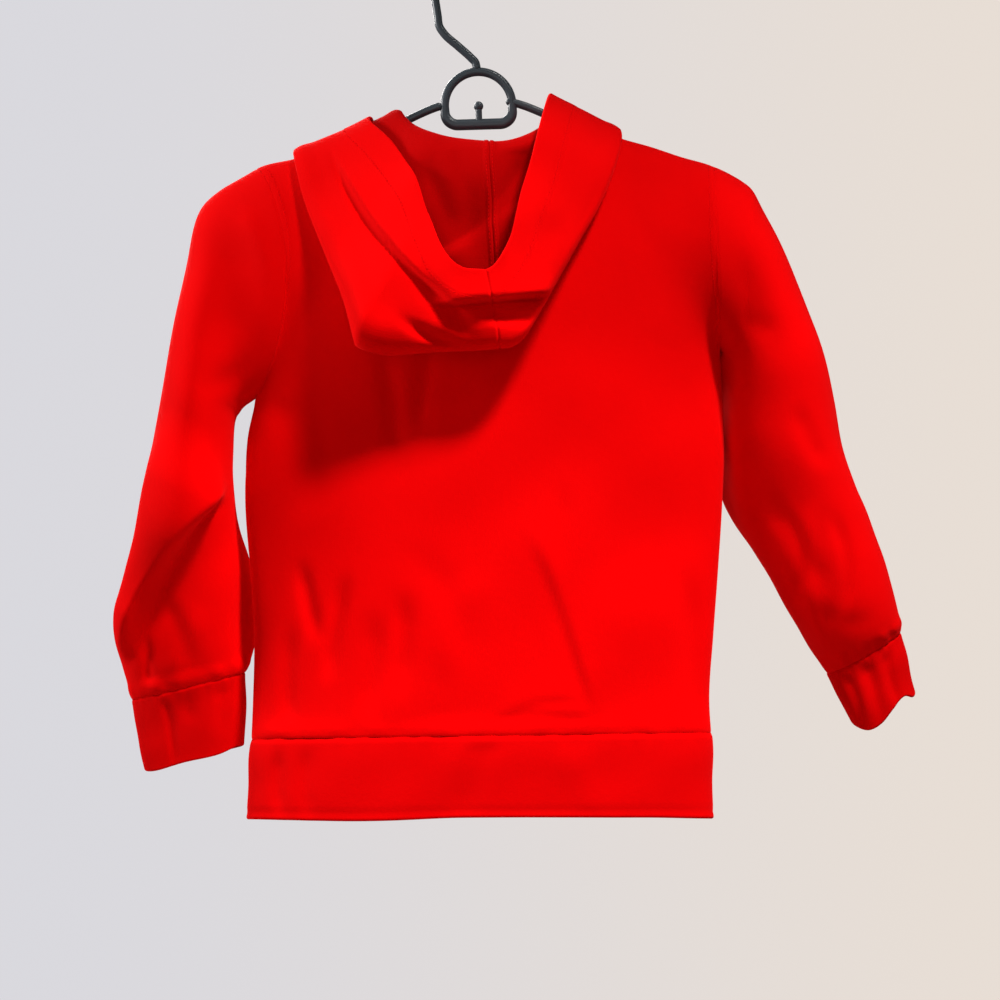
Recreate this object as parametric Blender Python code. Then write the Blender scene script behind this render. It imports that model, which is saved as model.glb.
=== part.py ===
"""Kids hoodie on a clothes hanger.

The tables are in millimetres and the meshes in metres. +Z is up and +X is to the right for someone who looks at the
back of the garment, which faces -Y. The origin is where the hook bears on the rail that it hangs from.

The upper body, the shoulders and the hood share one carrier surface: a ridge that runs over the hanger's arms, with the
cloth falling away from it before and behind as a quarter of an ellipse. A place on the carrier is given by x, by the
tape distance from the ridge (positive down the back, negative down the front) and by a lift off the cloth.
"""
import math

import bmesh
import bpy
import numpy as np

MM = 0.001

# ---------------------------------------------------------------- cloth
WALL = 2.2              # brushed fleece
BAND_WALL = 3.0         # cuffs and hem band are folded double
GAP = 0.3               # between neighbouring pieces
BODY_DEPTH = 38.0       # half the body's depth, front or back
SHOULDER_FALL = 160.0   # height over which the shoulders open out to the full depth
SECTION_POWER = 2.6     # superellipse power of the body's horizontal section

# The ridge over the hanger, left to right.
RIDGE = [  # x, z
    (-222.0, -208.0), (-215.0, -199.5), (-206.7, -191.4), (-184.7, -176.4), (-170.6, -167.8), (-139.0, -159.5),
    (-110.0, -149.5), (-76.0, -134.6), (-27.0, -112.5), (0.0, -107.0), (31.0, -109.8), (76.0, -127.5),
    (116.0, -144.2), (138.3, -150.5), (162.0, -158.4), (187.9, -166.2), (205.0, -174.9), (217.0, -183.5),
    (222.0, -192.0)]

# ---------------------------------------------------------------- body panels
SIDE_SEAMS = [  # z, left x, right x
    (-614.0, -174.5, 186.3), (-589.0, -173.5, 184.7), (-533.0, -172.5, 187.9), (-491.0, -175.0, 191.0),
    (-429.0, -179.5, 194.9), (-378.0, -178.0, 196.5), (-347.8, -172.1, 195.5), (-311.6, -172.0, 193.4)]
HEM_SEAM_LEFT = -616.0
HEM_SEAM_RIGHT = -611.0
HEM_BACK_LIFT = 5.5     # the hem hangs this much higher at the middle of the back
ARMPIT_SHARE = 0.635    # of the height from hem seam to shoulder
SIDE_ROWS = 10
ARMHOLE_ROWS = 11
CLOSING_ROWS = 4.0      # rows above the armpit over which the side's rounding gives way to the armhole's own depth
SHOULDER_CELLS = 5

# ---------------------------------------------------------------- neck seam, an ellipse in tape distances
NECK_X = 12.0
NECK_LEFT = 84.0
NECK_RIGHT = 66.0
NECK_BACK = 72.0
NECK_FRONT = -97.0
# Stations along the seam from the shoulder, close together where the hood bends over the ridge.
BACK_NECK_SHARES = (0.0, 0.035, 0.085, 0.16, 0.26, 0.38, 0.51, 0.64, 0.77, 0.89, 1.0)
FRONT_NECK_SHARES = (0.0, 0.035, 0.08, 0.145, 0.24, 0.38, 0.56, 0.77, 1.0)

# ---------------------------------------------------------------- sleeves
# One row for each section, from the armhole to the end of the cuff. The outer and inner points are where the section
# meets the outline; half_depth is along Y; bow draws the front and back of the armhole towards the neck.
SLEEVE_LEFT = [  # station, outer_x, outer_z, inner_x, inner_z, half_depth, shift_y, bow
    (0.0, -170.6, -167.8, -172.1, -347.8, 35.0, 0.0, 28.0),
    (1.0, -184.7, -176.4, -174.0, -349.5, 36.5, 0.0, 21.0),
    (2.0, -201.0, -186.8, -175.5, -351.0, 38.0, 0.0, 14.0),
    (3.0, -213.0, -198.7, -177.3, -352.5, 39.5, 0.0, 9.0),
    (4.0, -219.8, -215.0, -179.0, -354.0, 41.0, 0.0, 5.0),
    (5.0, -224.8, -240.9, -181.2, -356.5, 43.0, 0.0, 2.0),
    (6.0, -230.3, -270.8, -183.1, -359.6, 45.5, 0.0, 0.0),
    (7.0, -235.8, -302.2, -185.5, -363.6, 48.0, 0.0, 0.0),
    (8.0, -242.1, -337.6, -187.1, -373.0, 50.5, 0.0, 0.0),
    (9.0, -250.0, -379.2, -187.9, -396.5, 51.0, 1.0, 0.0),
    (10.0, -257.0, -416.2, -187.9, -424.0, 49.0, 2.0, 0.0),
    (11.0, -262.5, -453.1, -185.5, -451.6, 45.5, 3.0, 0.0),
    (12.0, -271.2, -484.6, -180.8, -476.7, 41.0, 4.0, 0.0),
    (13.0, -280.6, -516.0, -179.2, -505.0, 37.0, 5.0, 0.0),
    (14.0, -283.7, -539.6, -179.2, -530.2, 34.0, 6.0, 0.0),
    (15.0, -279.0, -560.0, -179.5, -549.0, 28.0, 6.5, 0.0),
    (16.0, -270.9, -586.0, -180.5, -564.0, 17.5, 7.0, 0.0),
    (17.0, -267.0, -610.0, -180.4, -583.5, 15.0, 7.0, 0.0),
    (18.0, -260.9, -643.5, -182.4, -622.5, 12.5, 7.0, 0.0)]
SLEEVE_RIGHT = [  # station, outer_x, outer_z, inner_x, inner_z, half_depth, shift_y, bow
    (0.0, 187.9, -166.2, 193.4, -311.6, 40.0, 0.0, 5.0),
    (1.0, 199.6, -171.7, 194.1, -312.4, 41.0, 0.0, 4.0),
    (2.0, 210.6, -178.2, 195.0, -313.3, 42.0, 0.0, 3.0),
    (3.0, 218.5, -185.5, 196.0, -314.6, 43.0, 0.0, 2.0),
    (4.0, 226.4, -201.0, 197.0, -316.2, 44.0, 0.0, 1.0),
    (5.0, 238.2, -224.4, 198.0, -318.3, 45.0, 0.0, 0.0),
    (6.0, 250.7, -252.7, 199.0, -321.5, 46.0, 0.0, 0.0),
    (7.0, 261.7, -280.2, 199.8, -327.8, 46.5, 0.0, 0.0),
    (8.0, 272.0, -310.1, 200.7, -340.5, 46.5, 0.0, 0.0),
    (9.0, 283.0, -351.7, 201.3, -366.0, 45.5, 1.0, 0.0),
    (10.0, 289.6, -388.0, 201.8, -394.0, 43.5, 2.0, 0.0),
    (11.0, 299.0, -415.0, 202.5, -421.0, 41.0, 3.0, 0.0),
    (12.0, 309.0, -436.0, 209.5, -447.0, 38.5, 4.0, 0.0),
    (13.0, 317.0, -457.0, 220.5, -468.5, 36.5, 5.0, 0.0),
    (14.0, 323.8, -475.2, 231.9, -488.5, 34.5, 6.0, 0.0),
    (15.0, 330.1, -497.2, 243.7, -511.3, 32.5, 7.0, 0.0),
    (16.0, 334.3, -513.0, 255.5, -530.2, 29.5, 8.0, 0.0),
    (17.0, 336.6, -524.0, 266.5, -547.5, 25.0, 8.5, 0.0),
    (18.0, 337.4, -532.5, 279.0, -565.5, 18.0, 9.0, 0.0),
    (19.0, 342.5, -553.0, 288.0, -585.0, 16.5, 9.0, 0.0),
    (20.0, 348.5, -578.5, 300.0, -606.0, 15.0, 9.0, 0.0)]
CUFF_SEAM_LEFT = 16.0
CUFF_SEAM_RIGHT = 18.0
CUFF_ROWS = 4

# ---------------------------------------------------------------- hem band
HEM_BAND = [  # share of the way down, left_x, right_x, left_z, right_z, half_depth, back_lift
    (0.0, -174.5, 186.3, HEM_SEAM_LEFT, HEM_SEAM_RIGHT, 38.0, HEM_BACK_LIFT),
    (0.15, -176.0, 187.2, -626.0, -622.0, 38.8, 5.8),
    (0.6, -176.8, 186.9, -654.0, -650.0, 39.2, 6.5),
    (1.0, -178.4, 187.9, -679.5, -677.1, 39.0, 7.0)]
HEM_ROWS = 4

# ---------------------------------------------------------------- hood
# Angle 0 is the centre seam at the back of the neck, about 82 is the shoulder and 180 the front of the neck. Each row is
# one section, a hairpin: up from the neck seam, over a roll, out along the cloth to a fold, and back to the face edge.
HOOD_LEFT = [  # angle, fold_x, fold_down, fold_lift, fold_radius, edge_x, edge_down, edge_lift
    (0.0, 20.0, 218.0, 24.0, 16.0, 10.0, 163.0, 42.0),
    (12.0, -2.0, 220.0, 24.0, 16.0, -6.0, 161.0, 42.0),
    (25.0, -36.0, 213.0, 25.0, 17.0, -18.0, 150.0, 40.0),
    (36.0, -67.0, 200.0, 26.0, 17.5, -26.0, 134.0, 37.0),
    (44.0, -87.0, 183.0, 26.0, 17.5, -34.0, 112.0, 33.0),
    (50.0, -97.0, 147.0, 19.5, 13.5, -42.0, 85.0, 28.0),
    (56.0, -111.0, 107.0, 13.0, 9.0, -52.0, 62.0, 22.0),
    (62.0, -128.0, 59.0, 8.5, 5.8, -63.0, 39.0, 16.5),
    (70.0, -139.0, 16.0, 8.0, 4.6, -79.0, 13.0, 13.0),
    (82.0, -141.0, -2.0, 8.0, 4.4, -80.0, -2.0, 12.0),
    (95.0, -136.0, -18.0, 7.6, 4.4, -76.0, -20.0, 12.0),
    (115.0, -116.0, -50.0, 7.2, 4.2, -60.0, -46.0, 12.0),
    (140.0, -72.0, -92.0, 7.2, 4.2, -36.0, -70.0, 12.0),
    (160.0, -28.0, -112.0, 7.2, 4.2, -12.0, -80.0, 12.0),
    (180.0, 12.0, -118.0, 7.2, 4.2, 12.0, -84.0, 12.0)]
HOOD_RIGHT = [  # angle, fold_x, fold_down, fold_lift, fold_radius, edge_x, edge_down, edge_lift
    (0.0, 20.0, 218.0, 24.0, 16.0, 10.0, 163.0, 42.0),
    (10.0, 30.0, 214.0, 22.0, 15.0, 16.0, 159.0, 42.0),
    (20.0, 40.0, 203.0, 20.0, 13.5, 23.0, 149.0, 41.0),
    (30.0, 53.0, 176.0, 17.0, 12.0, 29.0, 136.0, 39.0),
    (40.0, 67.0, 145.0, 15.0, 10.5, 33.0, 119.0, 36.0),
    (48.0, 81.0, 114.0, 13.0, 9.0, 37.0, 100.0, 32.0),
    (55.0, 95.0, 83.0, 11.0, 7.6, 43.0, 78.0, 28.0),
    (62.0, 106.0, 52.0, 9.0, 6.0, 49.0, 52.0, 22.0),
    (70.0, 114.0, 21.0, 7.0, 4.6, 56.0, 19.0, 15.0),
    (82.0, 115.0, -2.0, 7.6, 4.4, 60.0, -2.0, 13.0),
    (95.0, 112.0, -18.0, 7.4, 4.3, 59.0, -21.0, 12.5),
    (115.0, 98.0, -50.0, 7.2, 4.2, 50.0, -48.0, 12.0),
    (140.0, 68.0, -92.0, 7.2, 4.2, 38.0, -71.0, 12.0),
    (160.0, 40.0, -112.0, 7.2, 4.2, 25.0, -80.0, 12.0),
    (180.0, 12.0, -118.0, 7.2, 4.2, 12.0, -84.0, 12.0)]
ROLL_RISE = 12.0        # how far the hood stands up from the neck seam before it rolls over
ROLL_RADIUS = 1.6
UNDER_SHARES = (0.0, 0.3, 0.55, 0.8)
FOLD_ANGLES = (-90.0, -45.0, 0.0, 45.0, 90.0)
OUTER_SHARES = (0.25, 0.5, 0.72, 0.88, 1.0)
LIP_CREASE = 4.0        # depth of the long crease below the face edge

# ---------------------------------------------------------------- kangaroo pocket
POCKET_X = 6.0
POCKET_HALF_TOP = 66.0
POCKET_HALF_BOTTOM = 108.0
POCKET_BOTTOM = -610.0
POCKET_TOP = -466.0
POCKET_SIDE_SHARE = 0.35   # the lower, sewn part of each side
POCKET_STAND = 9.0         # how far the pocket stands off the panel at its middle
POCKET_GAP = 0.5
POCKET_COLUMNS = 14
POCKET_ROWS = 9

# ---------------------------------------------------------------- largest creases of the panels
# Each is a soft trough, or a ridge where the depth is negative, along an arc from one end to the other.
BACK_CREASES = [  # start_x, start_z, end_x, end_z, bend, width, depth
    (-135.0, -493.0, -124.0, -540.0, 3.0, 12.0, 3.0),
    (-104.0, -503.0, -115.0, -560.0, -4.0, 13.0, 3.2),
    (-56.0, -521.0, -58.0, -566.0, 4.0, 14.0, 2.6),
    (51.0, -470.0, 94.0, -597.0, 5.0, 11.0, 2.6),
    (-150.0, -330.0, -120.0, -420.0, 8.0, 26.0, 4.0),
    (172.0, -500.0, 166.0, -600.0, 4.0, 13.0, 3.0),
    (0.0, -490.0, -20.0, -560.0, -6.0, 22.0, -2.2)]
FRONT_CREASES = [  # start_x, start_z, end_x, end_z, bend, width, depth
    (-150.0, -330.0, -95.0, -410.0, 10.0, 24.0, 4.0),
    (165.0, -300.0, 105.0, -390.0, -10.0, 24.0, 4.0),
    (-40.0, -330.0, -62.0, -440.0, 8.0, 20.0, 2.6),
    (60.0, -300.0, 70.0, -430.0, -8.0, 22.0, 2.4),
    (150.0, -470.0, 140.0, -580.0, 5.0, 16.0, 3.0)]

# ---------------------------------------------------------------- hanger
TILT = math.radians(1.7)     # the hanger hangs a little down on the left
ROD_RADIUS = 3.2
HOOK_RADIUS = 32.0           # centre line
HOOK_START = math.radians(191.0)
HOOK_END = math.radians(-4.0)
NECK_ROUTE = [  # x, z, from the hook's foot down to the ring
    (-28.5, -57.8), (-1.5, -83.5), (0.0, -91.0)]
RING_Z = -118.0              # centre of the ring's arch
RING_RADIUS = 26.5
RING_CORNER = 10.0
RING_DROP = 14.8             # from the arch's centre down to the bar's centre line
ARCH_WIDTH = 6.7
BAR_WIDTH = 8.6
RING_DEPTH = 6.4
PEG_HEIGHT = 18.0
PEG_NECK = 2.6
PEG_KNOB = 3.8
ARM_START_X = 25.0
ARM_END_LEFT = -198.0
ARM_END_RIGHT = 203.0
ARM_RADIUS = 3.1
ARM_CLEARANCE = 0.5          # to the cloth that lies on it
ARM_POINTS = 15


# ================================================================ helpers
def smooth(table, at):
    """Cubic curve through a table's rows; the first column is the place along it."""
    table = np.asarray(table, float)
    knots, values = table[:, 0], table[:, 1:]
    slopes = np.gradient(values, knots, axis=0)
    at = np.clip(np.atleast_1d(np.asarray(at, float)), knots[0], knots[-1])
    k = np.clip(np.searchsorted(knots, at, side="right") - 1, 0, len(knots) - 2)
    span = (knots[k + 1] - knots[k])[:, None]
    t = (at - knots[k])[:, None] / span
    start, end = values[k], values[k + 1]
    return ((2 * t**3 - 3 * t**2 + 1) * start + (t**3 - 2 * t**2 + t) * span * slopes[k]
            + (3 * t**2 - 2 * t**3) * end + (t**3 - t**2) * span * slopes[k + 1])


def unit(v):
    return v / np.maximum(np.linalg.norm(v, axis=-1, keepdims=True), 1e-9)


def step(low, high, value):
    """Smooth step from 0 at low to 1 at high."""
    t = np.clip((value - low) / (high - low), 0.0, 1.0)
    return t * t * (3 - 2 * t)


def ridge_z(x):
    ridge = np.asarray(RIDGE, float)
    return np.interp(x, ridge[:, 0], ridge[:, 1])


ARC_ANGLES = np.linspace(0.0, math.pi / 2, 1500)
ARC_LENGTHS = np.concatenate([[0.0], np.cumsum(np.hypot(
    np.diff(BODY_DEPTH * np.sin(ARC_ANGLES)), np.diff(SHOULDER_FALL * (1 - np.cos(ARC_ANGLES)))))])


def carrier(x, down, lift):
    """The point of the carrier surface at x and a tape distance down from the ridge, lifted off the cloth."""
    x, down, lift = np.broadcast_arrays(x, down, lift)
    angle = np.interp(np.abs(down), ARC_LENGTHS, ARC_ANGLES)
    below = np.maximum(0.0, np.abs(down) - ARC_LENGTHS[-1])
    side = np.where(down >= 0, -1.0, 1.0)
    y = side * BODY_DEPTH * np.sin(angle)
    z = ridge_z(x) - SHOULDER_FALL * (1 - np.cos(angle)) - below
    normal = unit(np.stack([side * SHOULDER_FALL * np.sin(angle), BODY_DEPTH * np.cos(angle)], -1))
    return np.stack([x, y + lift * normal[..., 0], z + lift * normal[..., 1]], -1)


def carrier_normals(x, z, face):
    """Directions off the cloth at x and a height, for the back (-1) or the front (1)."""
    fall = np.clip((ridge_z(x) - z) / SHOULDER_FALL, 0.0, 1.0)
    out = face * SHOULDER_FALL * np.sqrt(fall * (2 - fall))
    return unit(np.stack([np.zeros_like(fall), out, BODY_DEPTH * (1 - fall)], -1))


def carrier_depth(x, z):
    """How far the carrier stands from the plane of the hanger at a height."""
    fall = np.clip((ridge_z(x) - z) / SHOULDER_FALL, 0.0, 1.0)
    return BODY_DEPTH * np.sqrt(fall * (2 - fall))


def creases(table, x, z):
    """Sum of soft troughs: each falls off as a bell across its arc and fades towards its two ends."""
    total = np.zeros_like(x)
    for start_x, start_z, end_x, end_z, bend, width, depth in table:
        along = np.array([end_x - start_x, end_z - start_z])
        length = np.hypot(*along)
        along = along / length
        t = ((x - start_x) * along[0] + (z - start_z) * along[1]) / length
        across = (x - start_x) * -along[1] + (z - start_z) * along[0] - 4 * bend * t * (1 - t)
        fade = step(-0.15, 0.25, t) * (1 - step(0.75, 1.15, t))
        total += depth * fade * np.exp(-(across / (0.5 * width)) ** 2)
    return total


def grid_normals(points):
    """Outward directions of a grid of points, by the differences of its rows and columns."""
    across = np.gradient(points, axis=1)
    along = np.gradient(points, axis=0)
    return unit(np.cross(across, along))


def spread(field, times):
    """Evens a grid of directions out with its neighbours."""
    for _ in range(times):
        padded = np.pad(field, ((1, 1), (1, 1), (0, 0)), mode="edge")
        field = unit(2 * field + padded[:-2, 1:-1] + padded[2:, 1:-1] + padded[1:-1, :-2] + padded[1:-1, 2:])
    return field


def wall_mesh(name, outer, inner, closed=False):
    """A closed wall between two grids of points. A closed grid joins its last column to its first."""
    rows, columns = outer.shape[:2]
    vertices = np.concatenate([outer.reshape(-1, 3), inner.reshape(-1, 3)]) * MM
    count = rows * columns
    faces = []
    spans = columns if closed else columns - 1
    for i in range(rows - 1):
        for j in range(spans):
            k = (j + 1) % columns
            a, b, c, d = i * columns + j, i * columns + k, (i + 1) * columns + k, (i + 1) * columns + j
            faces.append((a, b, c, d))
            faces.append((a + count, d + count, c + count, b + count))
    for j in range(spans):
        k = (j + 1) % columns
        faces.append((k, j, j + count, k + count))
        top = (rows - 1) * columns
        faces.append((top + j, top + k, top + k + count, top + j + count))
    if not closed:
        for i in range(rows - 1):
            a, d = i * columns, (i + 1) * columns
            faces.append((a, d, d + count, a + count))
            b, c = a + columns - 1, d + columns - 1
            faces.append((c, b, b + count, c + count))
    mesh = bpy.data.meshes.new(name)
    mesh.from_pydata(vertices.tolist(), [], faces)
    face_outwards(mesh)
    mesh.shade_smooth()
    mesh.set_sharp_from_angle(angle=math.radians(50))
    return mesh


def face_outwards(mesh):
    """Turns a closed mesh's faces outwards, and welds what lies in one place."""
    body = bmesh.new()
    body.from_mesh(mesh)
    bmesh.ops.remove_doubles(body, verts=body.verts, dist=1e-6)
    if body.calc_volume(signed=True) < 0:
        bmesh.ops.reverse_faces(body, faces=body.faces)
    body.to_mesh(mesh)
    body.free()


def add_piece(name, mesh, material):
    piece = bpy.data.objects.new(name, mesh)
    if not mesh.materials:
        mesh.materials.append(material)
    parts.objects.link(piece)
    return piece


def make_material(name, colour, roughness):
    material = bpy.data.materials.new(name)
    material.use_nodes = True
    shader = material.node_tree.nodes["Principled BSDF"]
    shader.inputs["Base Color"].default_value = (*colour, 1.0)
    shader.inputs["Roughness"].default_value = roughness
    shader.inputs["Metallic"].default_value = 0.0
    return material


# ================================================================ sleeves
def sleeve_rings(table, stations, turns, inset=0.0):
    """Rings of points round a sleeve: angle 0 is the top, 180 the underarm, with the back half first."""
    row = smooth(table, stations)
    outer = np.stack([row[:, 0], np.zeros(len(row)), row[:, 1]], -1)
    inner = np.stack([row[:, 2], np.zeros(len(row)), row[:, 3]], -1)
    half = 0.5 * np.linalg.norm(outer - inner, axis=-1)[:, None, None]
    up = unit(outer - inner)[:, None, :]
    centre = 0.5 * (outer + inner)[:, None, :]
    depth = row[:, 4][:, None, None]
    shift = row[:, 5][:, None, None]
    bow = row[:, 6][:, None, None] * -math.copysign(1.0, table[0][1])
    turn = np.asarray(turns, float)[None, :, None]
    y_axis = np.array([0.0, 1.0, 0.0])
    to_neck = np.array([1.0, 0.0, 0.0])
    back = -np.sin(turn)
    return (centre + (half - inset) * np.cos(turn) * up + ((depth - inset) * back + shift) * y_axis
            + bow * np.abs(np.sin(turn)) ** 1.5 * to_neck)


def armhole(table, turns):
    """The armhole's outer and inner loops, shared by the sleeve and the panels."""
    outer = sleeve_rings(table, [0.0], turns)[0]
    inner = sleeve_rings(table, [0.0], turns, WALL)[0]
    to_body = np.array([-math.copysign(1.0, table[0][1]), 0.0, 0.0])
    underarm = np.clip(-np.cos(np.asarray(turns)), 0.0, 1.0)[:, None] ** 4
    direction = unit(unit(inner - outer) + underarm * to_body)
    return outer, outer + direction * WALL


RING_TURNS = np.linspace(0.0, 2 * math.pi, 2 * ARMHOLE_ROWS + 1)[:-1]


def make_sleeve(side, table, seam, material):
    stations = np.arange(0.0, seam + 0.5)
    outer = sleeve_rings(table, stations, RING_TURNS)
    inner = sleeve_rings(table, stations, RING_TURNS, WALL)
    outer[0], inner[0] = armhole(table, RING_TURNS)
    add_piece("sleeve_" + side, wall_mesh("sleeve_" + side, outer, inner, closed=True), material)


def make_cuff(side, table, seam, material):
    stations = np.linspace(seam, table[-1][0], CUFF_ROWS + 1)
    outer = sleeve_rings(table, stations, RING_TURNS)
    inner = sleeve_rings(table, stations, RING_TURNS, BAND_WALL)
    away = unit(outer.mean(axis=1)[1] - outer.mean(axis=1)[0]) * GAP
    outer[0] += away
    inner[0] += away
    add_piece("cuff_" + side, wall_mesh("cuff_" + side, outer, inner, closed=True), material)


# ================================================================ body
def neck_point(angle, right):
    """The neck seam in x and tape distance, for an angle in degrees from the back of the neck."""
    middle = 0.5 * (NECK_BACK + NECK_FRONT)
    reach = 0.5 * (NECK_BACK - NECK_FRONT)
    turn = np.radians(angle)
    x = NECK_X + np.where(right, NECK_RIGHT, -NECK_LEFT) * np.sin(turn)
    return x, middle + reach * np.cos(turn)


SHOULDER_ANGLE = math.degrees(math.acos((NECK_BACK + NECK_FRONT) / (NECK_FRONT - NECK_BACK)))


def back_neck_angles():
    return SHOULDER_ANGLE * (1 - np.asarray(BACK_NECK_SHARES))


def front_neck_angles():
    return SHOULDER_ANGLE + (180.0 - SHOULDER_ANGLE) * np.asarray(FRONT_NECK_SHARES)


def section_columns(count):
    """Shares of the width and of the depth at the columns of a superellipse's half."""
    turn = np.linspace(-math.pi / 2, math.pi / 2, count + 1)
    width = np.sign(np.sin(turn)) * np.abs(np.sin(turn)) ** (2 / SECTION_POWER)
    return 0.5 + 0.5 * width


def section_depth(share):
    across = np.clip(np.abs(2 * share - 1), 0.0, 1.0)
    return (1 - across**SECTION_POWER) ** (1 / SECTION_POWER)


def panel_grid(front):
    """Outer and inner points of the back or front panel, rows from the hem seam up, columns from left to right."""
    face = 1.0 if front else -1.0
    angles = front_neck_angles() if front else back_neck_angles()
    left_x, left_down = neck_point(angles, False)
    right_x, right_down = neck_point(angles[::-1][1:], True)
    neck_x = np.concatenate([left_x, right_x])
    neck_down = np.concatenate([left_down, right_down])
    neck = carrier(neck_x, neck_down, 0.0)
    neck_in = carrier(neck_x, neck_down, -WALL)
    turns = np.linspace(math.pi, 0.0, ARMHOLE_ROWS + 1)
    if front:
        turns = 2 * math.pi - turns
    left_loop, left_loop_in = armhole(SLEEVE_LEFT, turns)
    right_loop, right_loop_in = armhole(SLEEVE_RIGHT, turns)
    apart = np.array([GAP, 0.0, 0.0])
    left_loop, left_loop_in = left_loop + apart, left_loop_in + apart
    right_loop, right_loop_in = right_loop - apart, right_loop_in - apart

    shoulder = np.linspace(0.0, 1.0, SHOULDER_CELLS + 1)
    left_run = left_loop[-1, 0] + (neck_x[0] - left_loop[-1, 0]) * shoulder[:-1]
    right_run = neck_x[-1] + (right_loop[-1, 0] - neck_x[-1]) * shoulder[1:]
    top_x = np.concatenate([left_run, neck_x, right_run])
    top_z = np.concatenate([ridge_z(left_run), neck[:, 2], ridge_z(right_run)])
    cells = len(top_x) - 1
    neck_span = slice(SHOULDER_CELLS, SHOULDER_CELLS + len(neck_x))

    low = np.linspace(0.0, ARMPIT_SHARE, SIDE_ROWS + 1)[:-1]
    high = ARMPIT_SHARE + (1 - ARMPIT_SHARE) * 0.5 * (1 - np.cos(np.linspace(0.0, math.pi, ARMHOLE_ROWS + 1)))
    rise = np.concatenate([low, high])
    seam = np.asarray(SIDE_SEAMS, float)[::-1]

    def side_edge(loop, column, foot_z):
        z = foot_z + (loop[0, 2] - foot_z) * low / ARMPIT_SHARE
        x = np.interp(-z, -seam[:, 0], seam[:, column])
        x += (loop[0, 0] - np.interp(-loop[0, 2], -seam[:, 0], seam[:, column])) * (low / ARMPIT_SHARE) ** 2
        edge = np.stack([x, np.zeros_like(x), z], -1)
        return np.concatenate([edge, loop])

    def straight_above(edge):
        line = edge[:, :1].copy()
        armpit, top = edge[SIDE_ROWS], edge[-1]
        climb = (edge[SIDE_ROWS:, 2:] - armpit[2]) / (top[2] - armpit[2])
        line[SIDE_ROWS:] = armpit[0] + (top[0] - armpit[0]) * climb
        return line

    left_edge = side_edge(left_loop, 1, HEM_SEAM_LEFT)
    right_edge = side_edge(right_loop, 2, HEM_SEAM_RIGHT)

    bottom_share = section_columns(cells)
    top_share = (top_x - top_x[0]) / (top_x[-1] - top_x[0])
    mix = rise[:, None] ** 4
    share = bottom_share[None, :] * (1 - mix) + top_share[None, :] * mix
    left_line, right_line = straight_above(left_edge), straight_above(right_edge)
    x = (left_line * (1 - share) + right_line * share + (left_edge[:, :1] - left_line) * (1 - share) ** 6
         + (right_edge[:, :1] - right_line) * share**6)
    foot_z = HEM_SEAM_LEFT + (HEM_SEAM_RIGHT - HEM_SEAM_LEFT) * share
    v = rise[:, None]
    between = foot_z * (1 - v) + top_z[None, :] * v
    left_gap = left_edge[:, 2][:, None] - (HEM_SEAM_LEFT * (1 - v) + top_z[0] * v)
    right_gap = right_edge[:, 2][:, None] - (HEM_SEAM_RIGHT * (1 - v) + top_z[-1] * v)
    z = between + left_gap * (1 - share) + right_gap * share
    if not front:
        z = z + HEM_BACK_LIFT * section_depth(share) * (1 - v) ** 5

    # the closing of the section at the sides turns into the armhole's own depth above the armpit
    above = step(0.0, CLOSING_ROWS, np.arange(len(rise)) - SIDE_ROWS)[:, None]
    across = np.clip(np.abs(2 * share - 1), 0.0, 1.0)
    closing = (1 - section_depth(share)) * (1 - above) + across**5 * above
    deep = carrier_depth(x, z)
    edge_depth = np.where(share < 0.5, np.abs(left_edge[:, 1])[:, None], np.abs(right_edge[:, 1])[:, None])
    edge_deep = np.where(share < 0.5, deep[:, :1], deep[:, -1:])
    inside = 1 - across**4
    fade = step(0.0, 0.06, v) * (1 - step(0.8, 1.0, v)) * inside
    folds = creases(FRONT_CREASES if front else BACK_CREASES, x, z) * fade
    depth = deep + (edge_depth - edge_deep) * closing - folds
    outer = np.stack([x, face * depth, z], -1)

    outer[:, 0] = left_edge
    outer[:, -1] = right_edge
    outer[-1, neck_span] = neck

    normal = spread(-face * grid_normals(outer), 2)
    near_side = step(0.5, 0.8, across)[..., None]
    normal = unit(carrier_normals(x, z, face) * (1 - near_side) + normal * near_side)
    inner = outer - WALL * normal
    side = np.array([1.0, 0.0, 0.0])
    inner[:SIDE_ROWS, 0] = outer[:SIDE_ROWS, 0] + WALL * side
    inner[:SIDE_ROWS, -1] = outer[:SIDE_ROWS, -1] - WALL * side
    inner[0] = outer[0] - WALL * hem_directions(outer[0], face)
    inner[SIDE_ROWS:, 0] = left_loop_in
    inner[SIDE_ROWS:, -1] = right_loop_in
    inner[-1] = outer[-1] - np.array([0.0, 0.0, WALL])
    inner[-1, neck_span] = neck_in
    # the side seams and the shoulder seams lie in the hanger's plane
    neck_ends = [SHOULDER_CELLS, cells - SHOULDER_CELLS]
    for grid in (outer, inner):
        grid[:SIDE_ROWS + 1, [0, -1], 1] = face * 0.5 * GAP
        grid[-1, :SHOULDER_CELLS, 1] = grid[-1, -SHOULDER_CELLS:, 1] = face * 0.5 * GAP
        grid[-1, neck_ends, 1] = face * 0.5 * GAP
    return outer, inner


def hem_directions(row, face):
    """Outward horizontal directions along the bottom edge of a panel, square to the side seams at its ends."""
    along = np.gradient(row, axis=0)
    direction = unit(face * np.stack([-along[:, 1], along[:, 0], np.zeros(len(row))], -1))
    direction[0] = (-1.0, 0.0, 0.0)
    direction[-1] = (1.0, 0.0, 0.0)
    return direction


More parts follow.
